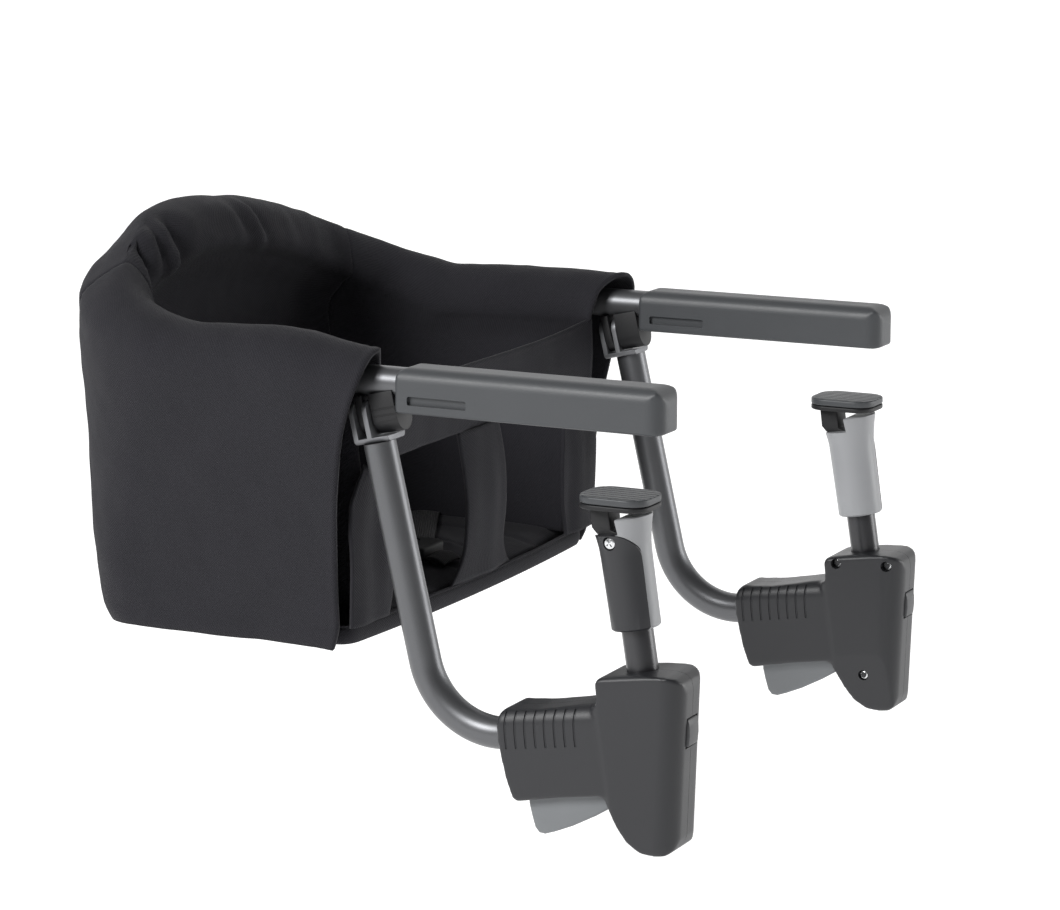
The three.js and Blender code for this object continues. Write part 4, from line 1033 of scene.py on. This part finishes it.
class SEAT_OT_base(bpy.types.Operator):
    """Makes the base: its fabric tray and the cushion, and gives the board its finish"""

    bl_idname = "chair.seat_base"
    bl_label = "Seat Base"

    def execute(self, context):
        self.tray()
        self.cushion()
        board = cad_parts["seat_board"]
        board.data.materials.clear()
        board.data.materials.append(finish_for("stiffener"))
        return {"FINISHED"}

    def tray(self):
        rows = [(inset, BASE_BOTTOM + z) for inset, z in TRAY_FOOT]
        rows += [(inset, BASE_TOP + z) for inset, z in TRAY_RIM]
        bm, layer, rings = stacked(rows)
        bottom = bm.faces.new(rings[0])
        bmesh.ops.recalc_face_normals(bm, faces=bm.faces)
        if bottom.normal.z > 0:
            bmesh.ops.reverse_faces(bm, faces=bm.faces)
        for vert in bm.verts:
            if vert.co.z > BASE_BOTTOM + 1:
                vert.co.z += noise.noise(vert.co * 0.03) * 0.8
        box_map(bm, layer)
        made = dress("base_tray_cloth", bm, "seat_fabric", "frame", ["base_cover"], crease=60)
        lined(made, 1.4)
        row = np.array([(x, y, BASE_TOP - 2.1) for x, y in base_outline(0.4)][:66])
        outward = np.gradient(row, axis=0)[:, [1, 0, 2]] * np.array([1, -1, 0])
        threads = stitches(row + 0.1 * outward, outward, *TRAY_STITCH)
        dress("stitching_base", threads, "webbing", "frame")

    def cushion(self):
        bm, _, rings = stacked([(inset, CUSHION_BOTTOM + z) for inset, z in CUSHION_ROWS])
        bm.faces.new(rings[0])
        bm.faces.new(rings[-1])
        bmesh.ops.recalc_face_normals(bm, faces=bm.faces)
        swollen = self.swell(bm)
        thickness = max(v.co.z for v in swollen.verts) - CUSHION_BOTTOM
        for vert in swollen.verts:
            rise = vert.co.z - CUSHION_BOTTOM
            if rise > 5:
                away = min(abs(vert.co.y - row) for row in QUILT_ROWS)
                vert.co.z -= QUILT_DEPTH * math.exp(-(away / 3) ** 2) * rise / thickness
        layer = swollen.loops.layers.uv.get("cloth")
        if layer is None:
            layer = swollen.loops.layers.uv.new("cloth")
        box_map(swollen, layer)
        made = dress("seat_cushion", swollen, "seat_fabric", "frame", ["seat_pad"], crease=70)

    def swell(self, bm):
        """Blows the cushion up as cloth under a light pressure, and caps how far it moves."""
        made = draft(resized(bm, MM))
        even = made.modifiers.new("even", "REMESH")
        even.mode, even.voxel_size = "VOXEL", 0.005
        made = draft(settled(made))
        before = np.array([v.co for v in made.data.vertices])
        cloth = made.modifiers.new("swell", "CLOTH")
        cloth.settings.quality = 4
        cloth.settings.use_pressure = True
        cloth.settings.uniform_pressure_force = 4
        cloth.settings.effector_weights.gravity = 0
        scene = bpy.context.scene
        for step in range(1, SWELL_STEPS + 1):
            scene.frame_set(step)
        moved = np.array([v.co for v in evaluated_mesh(made).vertices]) - before
        length = np.linalg.norm(moved, axis=1, keepdims=True)
        limit = np.array(SWELL_LIMITS)
        moved = moved * np.minimum(1, SWELL_REACH / np.maximum(length, 1e-9))
        made.modifiers.clear()
        scene.frame_set(1)
        for vert, place in zip(made.data.vertices, before + np.clip(moved, -limit, limit)):
            vert.co = place
        swollen = resized(settled(made), 1 / MM)
        bmesh.ops.smooth_vert(
            swollen, verts=swollen.verts, factor=0.5, use_axis_x=True, use_axis_y=True,
            use_axis_z=True)
        bmesh.ops.subdivide_edges(swollen, edges=swollen.edges, cuts=1, use_grid_fill=True)
        return swollen


def flat_panel(columns, rows, place):
    """A grid of points from a function of two shares."""
    shares = [np.linspace(0, 1, count) for count in (columns, rows)]
    return np.array([[place(a, b) for b in shares[1]] for a in shares[0]])


class SEAT_OT_front(bpy.types.Operator):
    """Makes the front of the seat: band, gussets and crotch panel"""

    bl_idname = "chair.seat_front"
    bl_label = "Seat Front"

    def execute(self, context):
        self.panel("band_cloth", flat_panel(120, 20, self.band), (0.33, 0.046), "front_band")
        left = flat_panel(26, 40, self.gusset)
        self.panel("gusset_cloth_left", left, (0.05, 0.1), "leg_gusset_left")
        right = (left * np.array([1, -1, 1]))[::-1]
        self.panel("gusset_cloth_right", right, (0.05, 0.1), "leg_gusset_right")
        self.panel("crotch_cloth", flat_panel(30, 40, self.crotch), (0.056, 0.1), "crotch_panel")
        return {"FINISHED"}

    def panel(self, name, points, flat, node):
        across, up = travelled_along(points, 0), travelled_along(points, 1)
        slack = {"band_cloth": 0.9, "crotch_cloth": 1.6}.get(name, 3.4)
        relief = slack * drifting(points * np.array([1, 1, 0.35]), 0.05, 6.6)
        if name == "band_cloth":
            relief = relief + hem_relief(up[:, -1:] - up, *BAND_HEM)
        else:
            gap = np.minimum(across, across[-1:] - across)
            relief = relief + hem_relief(gap, *GUSSET_HEM)
        bm = draped(points - grid_normals(points) * relief[..., None], across, up)
        bmesh.ops.reverse_faces(bm, faces=bm.faces)
        made = dress(name, bm, "seat_fabric", "frame", [node])
        lined(made, 2.0)

    def band(self, a, b):
        """The band across the front, drawn back and up towards its ends."""
        y = BAND_HALF * (2 * a - 1)
        end = abs(y) / BAND_HALF
        low, high = -41.5, 0.5 + 7.0 * end ** 5
        x = PANEL_FRONT + 6.5 * end ** 6 + 1.2 * math.sin(b * math.pi)
        return x, y, low + (high - low) * b

    def gusset(self, a, b):
        """The narrow panel outside a leg opening, between two curved edges."""
        inner = np.interp(b, (0, 0.25, 0.51, 0.76, 0.92, 1), (0.15, 0.03, 0, 0.08, 0.26, 0.51))
        outer = np.interp(b, (0, 0.25, 0.6, 0.8, 0.92, 1), (0.88, 0.91, 0.93, 0.88, 0.74, 0.56))
        y = 118 + 57 * (inner + (outer - inner) * a)
        x = PANEL_FRONT + 1.6 * math.sin(a * math.pi) + math.sin(b * math.pi)
        return x, y, PANEL_BOTTOM + PANEL_HEIGHT * b

    def crotch(self, a, b):
        """The panel between the leg openings, flared at its foot."""
        flare = 14 * max(1 - b * PANEL_HEIGHT / 24, 0) ** 2
        across = 2 * a - 1
        bulge = 5 * math.sin(b * math.pi) + 3 * (1 - across * across)
        x = PANEL_FRONT + 0.5 - 1.6 * b + bulge
        return x, across * (27.5 + flare), PANEL_BOTTOM + PANEL_HEIGHT * b


class SEAT_OT_harness(bpy.types.Operator):
    """Makes the child's harness that lies on the cushion"""

    bl_idname = "chair.harness"
    bl_label = "Harness"

    def execute(self, context):
        straps = {
            "crotch_strap": ((-59, 0), (-74, 0), "crotch_webbing"),
            "waist_strap_right": ((-150, -128), (-96, -17), "waist_webbing_right"),
            "waist_strap_left": ((-150, 128), (-96, 17), "waist_webbing_left"),
        }
        for name, (start, end, node) in straps.items():
            self.strap(name, start, end, node)
        self.buckle(HARNESS_HEIGHT)
        return {"FINISHED"}

    def strap(self, name, start, end, node):
        start, end = Vector((*start, HARNESS_HEIGHT)), Vector((*end, HARNESS_HEIGHT + 3))
        along = end - start
        sideways = Vector((along.y, -along.x, 0)).normalized()

        def place(a, b):
            spot = start.lerp(end, b) + sideways * (a - 0.5) * WEBBING_WIDTH
            spot.z += 2.4 * math.sin(b * math.pi) + 0.5 * math.cos((a - 0.5) * 5)
            return tuple(spot)

        points = flat_panel(9, max(int(along.length / 3), 6), place)
        across, up = travelled_along(points, 0), travelled_along(points, 1)
        bm = draped(points, up, across)
        bm.normal_update()
        if sum(f.normal.z for f in bm.faces) < 0:
            bmesh.ops.reverse_faces(bm, faces=bm.faces)
        made = dress(name, bm, "webbing", "frame", [node])
        lined(made, 1.5)

    def buckle(self, top):
        plan = rounded((-119, -73), (-17, 17), (9, 5, 5, 9), 8)
        shell = soften(prism(plan, "z", top + 0.6, top + 10), 2.6, 5, 40)
        press = rounded((-104, -86), (-9, 9), (4, 4, 4, 4), 6)
        shell = cut(shell, prism(press, "z", top + 8.6, top + 14))
        button = rounded((-103.4, -86.6), (-8.4, 8.4), (3.6,) * 4, 6)
        shell = joined(shell, soften(prism(button, "z", top + 4, top + 9.9), 0.8, 3, 40))
        dress("harness_buckle_shell", shell, "black_plastic", "frame", ["harness_buckle"])


# ---- frame ----
class FRAME_OT_tube(bpy.types.Operator):
    """Makes the bent frame tube with its flattened ends, and the foam on it"""

    bl_idname = "chair.frame_tube"
    bl_label = "Frame Tube"

    def execute(self, context):
        hoop = tube(hoop_points(TUBE_HEIGHT), TUBE_RADIUS, 14)
        tongues = []
        for sign in (-1, 1):
            plan = rounded((sign * ARM_HALF - 10, sign * ARM_HALF + 10), (8.9, 19.9), (3,) * 4)
            tongues.append(prism(plan, "x", 0.5, 156))
        dress("hoop_tube", joined(hoop, *tongues), "steel_tube", "frame", ["frame_tube"])
        made = dress("hoop_foam", self.sleeve(), "foam", "frame", ["tube_padding"])
        lined(made, 1.0)
        return {"FINISHED"}

    def sleeve(self):
        """The foam, pressed thin where the cover is low or drawn in over it."""
        line = np.array(hoop_points(FOAM_HEIGHT, FOAM_FRONT))
        bm = tube(line, FOAM_RADIUS, 10, caps=False)
        places = hoop_places()
        for vert in bm.verts:
            k = int(np.argmin(np.linalg.norm(line - np.array(vert.co), axis=1)))
            low = max(-float(np.interp(places[k], RIM_PLACES, RIM_LIFTS)), 0)
            share = FOAM_SHARE - 0.04 * low
            for place, deepest, reach in TUCKS:
                share -= 0.022 * deepest * float(bell((places[k] - place) / (reach * 1.15)))
            centre = Vector(line[k])
            vert.co = centre + (vert.co - centre) * max(share, FOAM_LEAST)
        return bm


class FRAME_OT_grips(bpy.types.Operator):
    """Makes the two soft grips that lie on the table"""

    bl_idname = "chair.grips"
    bl_label = "Grips"

    def execute(self, context):
        solid = self.moulded()
        for side in SIDES:
            dress(f"{side}_grip_cover", solid.copy(), "grip_rubber", "frame",
                  [f"{side}_grip"], side=side, crease=50)
        solid.free()
        return {"FINISHED"}

    def moulded(self):
        """A grip from its section, plan and side view, with a slot in each side."""
        length, height = (0, GRIP_LENGTH), (0, GRIP_HEIGHT)
        section = rounded(GRIP_SIDES, height, (1.5, 1.5, 8, 8), 8)
        plan = rounded(length, GRIP_SIDES, (2, 10.5, 10.5, 2), 8)
        side_view = rounded(length, height, (1.5, 3, 10.5, 7), 8)
        solid = shared(
            prism(section, "x", -1, 174), prism(plan, "z", -1, 28),
            prism(side_view, "y", -186, -154))
        slot = rounded((8.5, 47.6), (5.5, 10.8), (1.2,) * 4, 4)
        return cut(eased(solid, 1.0, 5), *[prism(slot, "y", y - 2.6, y + 2.6) for y in GRIP_SIDES])


# ---- hinge and lower arm ----
def saddle(xs):
    """A block that hangs from the upper tube and is round about the pin."""
    plan = [(9.5, 15.5), (-9.5, 15.5), *arc((0, 0), 9.5, 180, 360, 24)]
    solid = prism(plan, "x", *xs)
    hole = tube([(-80, 0, TUBE_HEIGHT + 8), (80, 0, TUBE_HEIGHT + 8)], TUBE_RADIUS + 0.15, 12)
    bmesh.ops.transform(hole, matrix=Matrix.Rotation(ARM_LEAN, 4, "Y"), verts=hole.verts)
    return soften(cut(solid, hole), 0.5, 3)


class ARM_OT_hinge(bpy.types.Operator):
    """Makes the fold hinges: block, fork, pin and the bumper that meets the table"""

    bl_idname = "chair.hinge"
    bl_label = "Fold Hinge"

    def execute(self, context):
        for side in SIDES:
            place = {"place": HINGE, "side": side}
            dress(f"{side}_knuckle", saddle((-2.3, 3.1)), "black_plastic", "frame",
                  [f"{side}_hinge_block"], **place)
            dress(f"{side}_bumper", self.bumper(), "black_plastic", "frame",
                  [f"{side}_table_bumper"], **place)
            arm = f"{side}_arm"
            dress(f"{side}_fork", self.fork(), "fork_steel", arm, [f"{side}_hinge_fork"], **place)
            dress(f"{side}_rivet", self.rivet(), "bare_steel", arm, [f"{side}_hinge_pin"], **place)
        return {"FINISHED"}

    def bumper(self):
        solid = saddle((7.6, 24.2))
        groove = [block((7, 25), (-9.9, -9.0), (z, z + 1.2)) for z in (-3, 1, 5)]
        return cut(solid, *groove)

    def fork(self):
        profile = [
            (-5.8, 12), (-5.8, -13.5), (17.8, -13.5), (17.8, -10.3), (6.6, -10.3), (6.6, 12),
            (3.4, 12), (3.4, -10.3), (-2.6, -10.3), (-2.6, 12),
        ]
        plate = rounded((-13, 8), (-13.5, 12), (3, 3, 7, 7), 8)
        solid = shared(prism(profile, "y", -14, 9), prism(plate, "x", -8, 20))
        return soften(solid, 0.5, 3)

    def rivet(self):
        shank = rod("x", (0, 0), 3, -5.6, 6.9, 32)
        head = spun([(0, 2.1), (2.2, 1.9), (3.8, 1.2), (4.5, 0.2), (4.5, 0), (0, 0)], 32)
        bmesh.ops.transform(head, matrix=Matrix.Rotation(-math.pi / 2, 4, "Y"), verts=head.verts)
        bmesh.ops.translate(head, verts=head.verts, vec=(-5.9, 0, 0))
        return joined(shank, head)


class ARM_OT_lower(bpy.types.Operator):
    """Makes the bent lower arms"""

    bl_idname = "chair.lower_arm"
    bl_label = "Lower Arms"

    def execute(self, context):
        points = [(ARM_OFFSET, -ARM_OUTSET, SHANK_TOP), (ARM_OFFSET, -ARM_OUTSET, -80.0)]
        for i in range(33):
            x, z = bend_point(ARM_BEND * i / 32)
            points.append((x, -ARM_OUTSET, z))
        points.append((x + 50 * math.sin(ARM_BEND), -ARM_OUTSET, z - 50 * math.cos(ARM_BEND)))
        for side in SIDES:
            dress(f"{side}_arm_tube", tube(points, ARM_RADIUS, 14), "steel_tube", f"{side}_arm",
                  [f"{side}_lower_arm"], place=HINGE, side=side)
        return {"FINISHED"}


# ---- clamp ----
def screw(head_radius, head_thickness, shank_radius, shank_length):
    """A pan head screw with a cross recess, its head's top at the origin, pointing down."""
    h = head_thickness
    head = spun([
        (0, 0), (head_radius * 0.55, -0.06 * h), (head_radius * 0.86, -0.22 * h),
        (head_radius, -0.6 * h), (head_radius, -h), (0, -h)], 32)
    arm, wide = head_radius * 0.62, head_radius * 0.11
    cross = [block((-arm, arm), (-wide, wide), (-0.6 * h, 1)),
             block((-wide, wide), (-arm, arm), (-0.6 * h, 1))]
    head = cut(head, *cross)
    return joined(head, rod("z", (0, 0), shank_radius, -shank_length, -h * 0.9, 24))


def front_face(z):
    """How far ahead the housing's sloped front face is at a height."""
    return FRONT_EDGE[0] - (FRONT_EDGE[1] - z) * FRONT_SLOPE


class CLAMP_OT_housing(bpy.types.Operator):
    """Moulds the clamp housings and drives their screws"""

    bl_idname = "chair.housing"
    bl_label = "Clamp Housings"

    def execute(self, context):
        solid = self.moulded()
        for side in SIDES:
            arm = f"{side}_arm"
            for half, sign in (("outer", -1), ("inner", 1)):
                shell = self.half(solid.copy(), sign)
                dress(f"{side}_shell_{half}", shell, "dark_plastic", arm,
                      [f"{side}_housing_{half}"], place=CLAMP, side=side, crease=40)
            for name, (x, z) in HOUSING_SCREWS.items():
                turn = frame_at(x, HOUSING_HALF - SCREW_RECESS, z, 0)
                spot = CLAMP @ turn @ Matrix.Rotation(-math.pi / 2, 4, "X")
                dress(f"{side}_screw_{name}", screw(3.1, 2.4, 1.5, 22), "bare_steel", arm,
                      [f"{side}_housing_screw_{name}"], place=spot, side=side)
        solid.free()
        return {"FINISHED"}

    def moulded(self):
        """Both halves in one, with soft edges, grooves, bores and slots."""
        profile = outline(HOUSING_OUTLINE, HOUSING_CORNER, HOUSING_SIZE)
        half = HOUSING_HALF + 0.4
        body_plan = rounded((46, 105.4), (-half, half), (6, 14, 14, 6), 10)
        low, high = HOUSING_CORNER[1] - 0.6, HOUSING_CORNER[1] + HOUSING_SIZE[1] + 0.2
        section = [
            (-half + 2.5, low), (11, low), (13.6, low + 3), (half, -34), (half, high - 2.5),
            (half - 2.5, high), (-half + 2.5, high), (-half, high - 2.5), (-half, low + 3),
        ]
        column = prism(body_plan, "z", -90, 50)
        for vert in column.verts:
            if vert.co.x > 76:
                vert.co.x += front_face(vert.co.z) - FRONT_EDGE[0]
        body = shared(prism(profile, "y", -25, 25), column, prism(section, "x", -40, 140))
        handle_section = rounded((-19.2, 19.2), (-39.9, 17.4), (4, 4, 11, 11), 8)
        handle = shared(prism(profile, "y", -25, 25), prism(handle_section, "x", -40, 58))
        voxel = bpy.context.scene.chair_clamp.voxel / MM
        rounds = round(HOUSING_ROUNDS * (0.9 / voxel) ** 2)
        return cut(eased(joined(body, handle), voxel, rounds), *self.openings())

    def openings(self):
        """What is cut from the moulded form: the handle's grooves, the bores for the rod and
        the arm, the trigger's slot, the button's window and the screws' seats."""
        yield joined(*[self.groove(i, sign) for i in range(8) for sign in (-1, 1)])
        yield rod("z", (ROD_OFFSET, 0), ROD_BORE, -44, 60, 64)
        yield tube(self.stub_line(), ARM_RADIUS + 0.15, 14)
        yield block((-8.7, 51), (-12.6, 12.6), (-80, -14))
        yield block((88, 120), (-7.6, 7.6), (-13.4, 4.4))
        seats = []
        for x, z in HOUSING_SCREWS.values():
            seats.append(rod("y", (x, z), 3.5, HOUSING_HALF - SCREW_RECESS - 2.7, 26, 32))
            seats.append(rod("y", (x, z), 1.8, -6, HOUSING_HALF - SCREW_RECESS, 24))
        yield joined(*seats)

    def stub_line(self):
        """The end of the lower arm's bend and its stub, in the clamp's frame."""
        x, z = -CLAMP_AHEAD, -CLAMP_ABOVE
        back = [(x - BEND_RADIUS * math.sin(t), 0, z + BEND_RADIUS * (1 - math.cos(t)))
                for t in (0.5, 0.4, 0.3, 0.2, 0.1)]
        return [*back, (x, 0, z), (x + 50.3, 0, z)]

    def groove(self, i, sign):
        """A thin bent cutter that follows the handle's side and its rounded top."""
        top = -9.6 + 6.5 * i
        low, high, steps = -7.2, 14.6, 14
        points = []
        for k in range(steps + 1):
            share = k / steps
            z = low + (high - low) * share
            x = top - 2.1 * (1 - share) - 0.5 * math.sin(share * math.pi)
            y = 19.15 if z < 5.6 else 8 + math.sqrt(max(11.2 ** 2 - (z - 6) ** 2, 1))
            points.append((x, sign * (y + 0.15), z))
        return tube(points, 0.75, 3)

    def half(self, bm, sign):
        """One shell: its side of the joint, with the cut filled."""
        kept = bmesh.ops.bisect_plane(
            bm, geom=[*bm.verts, *bm.edges, *bm.faces], plane_co=(0, sign * 0.12, 0),
            plane_no=(0, -sign, 0), clear_outer=True)
        rim = [e for e in kept["geom_cut"] if isinstance(e, bmesh.types.BMEdge)]
        bmesh.ops.holes_fill(bm, edges=rim, sides=0)
        return bm


class CLAMP_OT_trigger(bpy.types.Operator):
    """Makes the triggers with their pins and springs"""

    bl_idname = "chair.trigger"
    bl_label = "Triggers"

    def execute(self, context):
        for side in SIDES:
            here = {"place": CLAMP, "side": side}
            dress(f"{side}_trigger_lever", self.lever(), "pale_plastic", f"{side}_trigger_body",
                  [f"{side}_trigger"], **here)
            pin = soften(rod("y", TRIGGER_PIVOT, 2.5, -15.5, 15.5, 32), 0.4)
            plate = soften(block((60.5, 88.4), (-13.5, 13.5), (16.5, 19.5)), 0.5)
            plate = cut(plate, rod("z", (ROD_OFFSET, 0), ROD_BORE, 10, 25, 64))
            steel = {
                "trigger_axle": (pin, "trigger_pin"),
                "trigger_coil": (self.coil(), "trigger_spring"),
                "lock": (plate, "lock_plate"),
            }
            for name, (solid, node) in steel.items():
                dress(f"{side}_{name}", solid, "bare_steel", f"{side}_arm", [f"{side}_{node}"],
                      **here)
        return {"FINISHED"}

    def lever(self):
        points = outline(TRIGGER_OUTLINE, TRIGGER_CORNER, TRIGGER_SIZE)
        solid = soften(prism(points, "y", -12, 12), 1.8, 4, 50)
        bore = rod("y", TRIGGER_PIVOT, 2.8, -20, 20, 32)
        return cut(solid, bore, rod("y", TRIGGER_PIVOT, 4.9, 6.6, 20, 32))

    def coil(self):
        """Four turns of wire round the pin."""
        points = []
        for k in range(97):
            turn = math.tau * k / 24
            points.append((
                TRIGGER_PIVOT[0] + 3.9 * math.cos(turn), 7.7 + 3.6 * k / 96,
                TRIGGER_PIVOT[1] + 3.9 * math.sin(turn)))
        return tube(points, 0.5, 3)


class CLAMP_OT_button(bpy.types.Operator):
    """Makes the release buttons in the housings' front faces"""

    bl_idname = "chair.button"
    bl_label = "Release Buttons"

    def execute(self, context):
        low, high = BUTTON_HEIGHTS
        stem = [
            (front_face(low) - BUTTON_DEPTH, low), (front_face(low) + 1.5, low),
            (front_face(-6) + 1.9, -6), (front_face(0) + 1.5, 0),
            (front_face(high) + 0.2, high), (front_face(high) - BUTTON_DEPTH, high),
        ]
        for side in SIDES:
            solid = soften(prism(stem, "y", -7.1, 7.1), 1.2, 5, 12)
            dress(f"{side}_button", solid, "dark_plastic", f"{side}_button_body",
                  [f"{side}_release_button"], place=CLAMP, side=side, finish="button_plastic")
        return {"FINISHED"}


class CLAMP_OT_foot(bpy.types.Operator):
    """Makes the sliding rods, their sleeves and covers, and the tilting feet"""

    bl_idname = "chair.foot"
    bl_label = "Feet"

    def execute(self, context):
        for side in SIDES:
            rod_body, foot_body = f"{side}_rod", f"{side}_foot"
            here = {"place": FOOT, "side": side}
            shaft = soften(rod("z", (0, 0), ROD_RADIUS, -83, 38.2, 64), 0.8, 3)
            dress(f"{side}_slide_rod", shaft, "steel_tube", rod_body, [f"{side}_clamp_rod"],
                  finish="rod_steel", **here)
            dress(f"{side}_boot", self.boot(), "pale_plastic", rod_body, [f"{side}_foot_boot"],
                  finish="boot_plastic", **here)
            dress(f"{side}_boot_cover", self.cover(), "dark_plastic", rod_body,
                  [f"{side}_foot_shell"], **here)
            seat = FOOT @ Matrix.Translation((PIVOT[0], -14.6, PIVOT[1]))
            seat = seat @ Matrix.Rotation(math.pi / 2, 4, "X") @ Matrix.Rotation(0.5, 4, "Z")
            dress(f"{side}_boot_screw", screw(3.7, 1.9, 2.0, 25.5), "bare_steel", rod_body,
                  [f"{side}_foot_screw"], place=seat, side=side)
            there = {"place": HEAD, "side": side}
            dress(f"{side}_rocker", self.rocker(), "black_plastic", foot_body,
                  [f"{side}_foot_head"], **there)
            dress(f"{side}_pad", self.pad(), "grip_rubber", foot_body,
                  [f"{side}_foot_pad"], **there)
        return {"FINISHED"}

    def outer(self, grown):
        """The sleeve's form, hollowed for the rod, the rocker's ear and its screw."""
        solid = spun([(r + grown if r > 13 else r, z) for r, z in SLEEVE_PROFILE], 72)
        return cut(
            solid, rod("z", (0, 0), ROD_BORE, -5, SLEEVE_LEDGE, 64),
            block((-40, 3.6), (-7.9, 7.9), (45.5, 75)), block((-40, 3.6), (-40, 40), (56.8, 75)),
            rod("y", PIVOT, 2.3, -30, 12.3, 24))

    def cover_bounds(self, gap):
        """The part of the sleeve's outer side that the cover takes up."""
        plan = rounded((-30, 13.4 + gap), (-5, 57 + gap), (0.1, 0.1, 14, 0.1), 10)
        return prism(plan, "y", -40, -7.4 + gap)

    def cover(self):
        solid = shared(self.outer(0.5), self.cover_bounds(-0.25))
        return soften(cut(solid, rod("y", PIVOT, 4.1, -40, -12.4, 40)), 0.45, 3, 35)

    def boot(self):
        return soften(cut(self.outer(0), self.cover_bounds(0)), 0.4, 2, 35)

    def pad_plan(self):
        return rounded((-22, 22), (-18, 18), (12,) * 4, 10)

    def rocker(self):
        ear = outline(EAR_OUTLINE, EAR_CORNER, EAR_SIZE)
        lug = soften(prism(ear, "y", -7.5, 7.5), 0.8, 3, 45)
        plate = soften(prism(self.pad_plan(), "z", 19.1, 22.1), 0.8, 3, 45)
        return joined(cut(lug, rod("y", (0, 0), 2.3, -20, 20, 32)), plate)

    def pad(self):
        solid = soften(prism(self.pad_plan(), "z", 22.4, 26.8), 1.1, 4, 45)
        treads = [block((-30, 30), (y - 0.6, y + 0.6), (26.1, 30)) for y in range(-15, 16, 5)]
        return cut(solid, joined(*treads))


# ---- stage ----
class STAGE_OT_studio(bpy.types.Operator):
    """Sets up the pale floor, the soft lights and the camera"""

    bl_idname = "chair.studio"
    bl_label = "Studio"

    def execute(self, context):
        self.floor()
        self.lights()
        self.camera()
        return {"FINISHED"}

    def floor(self):
        settings = bpy.context.scene.chair_stage
        shader = Shader("floor", 0.9, Specular_IOR_Level=0.1)
        shader.feed("Base Color", tuple(settings.floor_colour))
        shader.feed("Emission Color", (1.0, 1.0, 1.0))
        shader.feed("Emission Strength", settings.floor_glow)
        end = FLOOR_ENDS[1]
        profile = [(y, FLOOR_HEIGHT) for y in FLOOR_ENDS]
        profile += [
            (end + WALL_BEND * math.sin(t), FLOOR_HEIGHT + WALL_BEND * (1 - math.cos(t)))
            for t in np.linspace(0.1, math.pi / 2, 16)]
        profile.append((end + WALL_BEND, WALL_TOP))
        bm = bmesh.new()
        verts = [bm.verts.new((-FLOOR_WIDTH / 2, y, z)) for y, z in profile]
        edges = [bm.edges.new(pair) for pair in zip(verts, verts[1:])]
        grown = bmesh.ops.extrude_edge_only(bm, edges=edges)
        bmesh.ops.translate(bm, verts=moved_verts(grown), vec=(FLOOR_WIDTH, 0, 0))
        bmesh.ops.rotate(bm, verts=bm.verts, matrix=Matrix.Rotation(CAMERA_AZIMUTH, 3, "Z"))
        bmesh.ops.recalc_face_normals(bm, faces=bm.faces)
        shown("floor", bm, shader.material)

    def lights(self):
        scene = bpy.context.scene
        scene.world = bpy.data.worlds.new("studio")
        scene.world.use_nodes = True
        background = scene.world.node_tree.nodes["Background"]
        background.inputs["Color"].default_value = (1.0, 1.0, 1.0, 1.0)
        background.inputs["Strength"].default_value = SKY_GLOW
        scene.view_settings.view_transform = "Standard"
        for name, (place, size, share) in LIGHTS.items():
            data = bpy.data.lights.new(name, "AREA")
            data.shape, data.size = "SQUARE", size
            data.energy = scene.chair_stage.key_power * share
            self.stand(bpy.data.objects.new(name, data), place, Vector(LIGHT_AIM) - Vector(place))

    def camera(self):
        data = bpy.data.cameras.new("camera")
        data.sensor_width = CAMERA_SENSOR
        data.lens = CAMERA_LENS
        data.clip_end = CAMERA_REACH
        made = bpy.data.objects.new("camera", data)
        level = math.cos(CAMERA_ELEVATION)
        aim = Vector((
            -math.sin(CAMERA_AZIMUTH) * level, math.cos(CAMERA_AZIMUTH) * level,
            -math.sin(CAMERA_ELEVATION)))
        self.stand(made, CAMERA_PLACE, aim)
        bpy.context.scene.camera = made

    def stand(self, made, place, aim):
        """Puts a light or the camera in its place, turned along its aim."""
        made.location = place
        made.rotation_euler = aim.to_track_quat("-Z", "Y").to_euler()
        bpy.context.scene.collection.objects.link(made)


OPERATORS = (
    STAGE_OT_studio, FRAME_OT_tube, FRAME_OT_grips, ARM_OT_hinge, ARM_OT_lower,
    CLAMP_OT_housing, CLAMP_OT_trigger, CLAMP_OT_button, CLAMP_OT_foot,
    SEAT_OT_cover, SEAT_OT_base, SEAT_OT_front, SEAT_OT_harness,
)


class VIEW3D_PT_table_chair(bpy.types.Panel):
    """Lists the pieces of the table chair"""

    bl_label = "Table Chair"
    bl_space_type = "VIEW_3D"
    bl_region_type = "UI"
    bl_category = "Table Chair"

    def draw(self, context):
        layout, scene = self.layout, context.scene
        for settings in (scene.chair_seat, scene.chair_clamp, scene.chair_stage):
            for name in settings.bl_rna.properties.keys():
                if name not in ("rna_type", "name"):
                    layout.prop(settings, name)
        for operator in OPERATORS:
            layout.operator(operator.bl_idname)


CLASSES = (SeatSettings, ClampSettings, StageSettings, *OPERATORS, VIEW3D_PT_table_chair)


def register():
    for cls in CLASSES:
        bpy.utils.register_class(cls)
    bpy.types.Scene.chair_seat = PointerProperty(type=SeatSettings)
    bpy.types.Scene.chair_clamp = PointerProperty(type=ClampSettings)
    bpy.types.Scene.chair_stage = PointerProperty(type=StageSettings)


def unregister():
    del bpy.types.Scene.chair_seat
    del bpy.types.Scene.chair_clamp
    del bpy.types.Scene.chair_stage
    for cls in reversed(CLASSES):
        bpy.utils.unregister_class(cls)


def main():
    register()
    for operator in OPERATORS:
        family, name = operator.bl_idname.split(".")
        getattr(getattr(bpy.ops, family), name)()


if __name__ == "__main__":
    main()
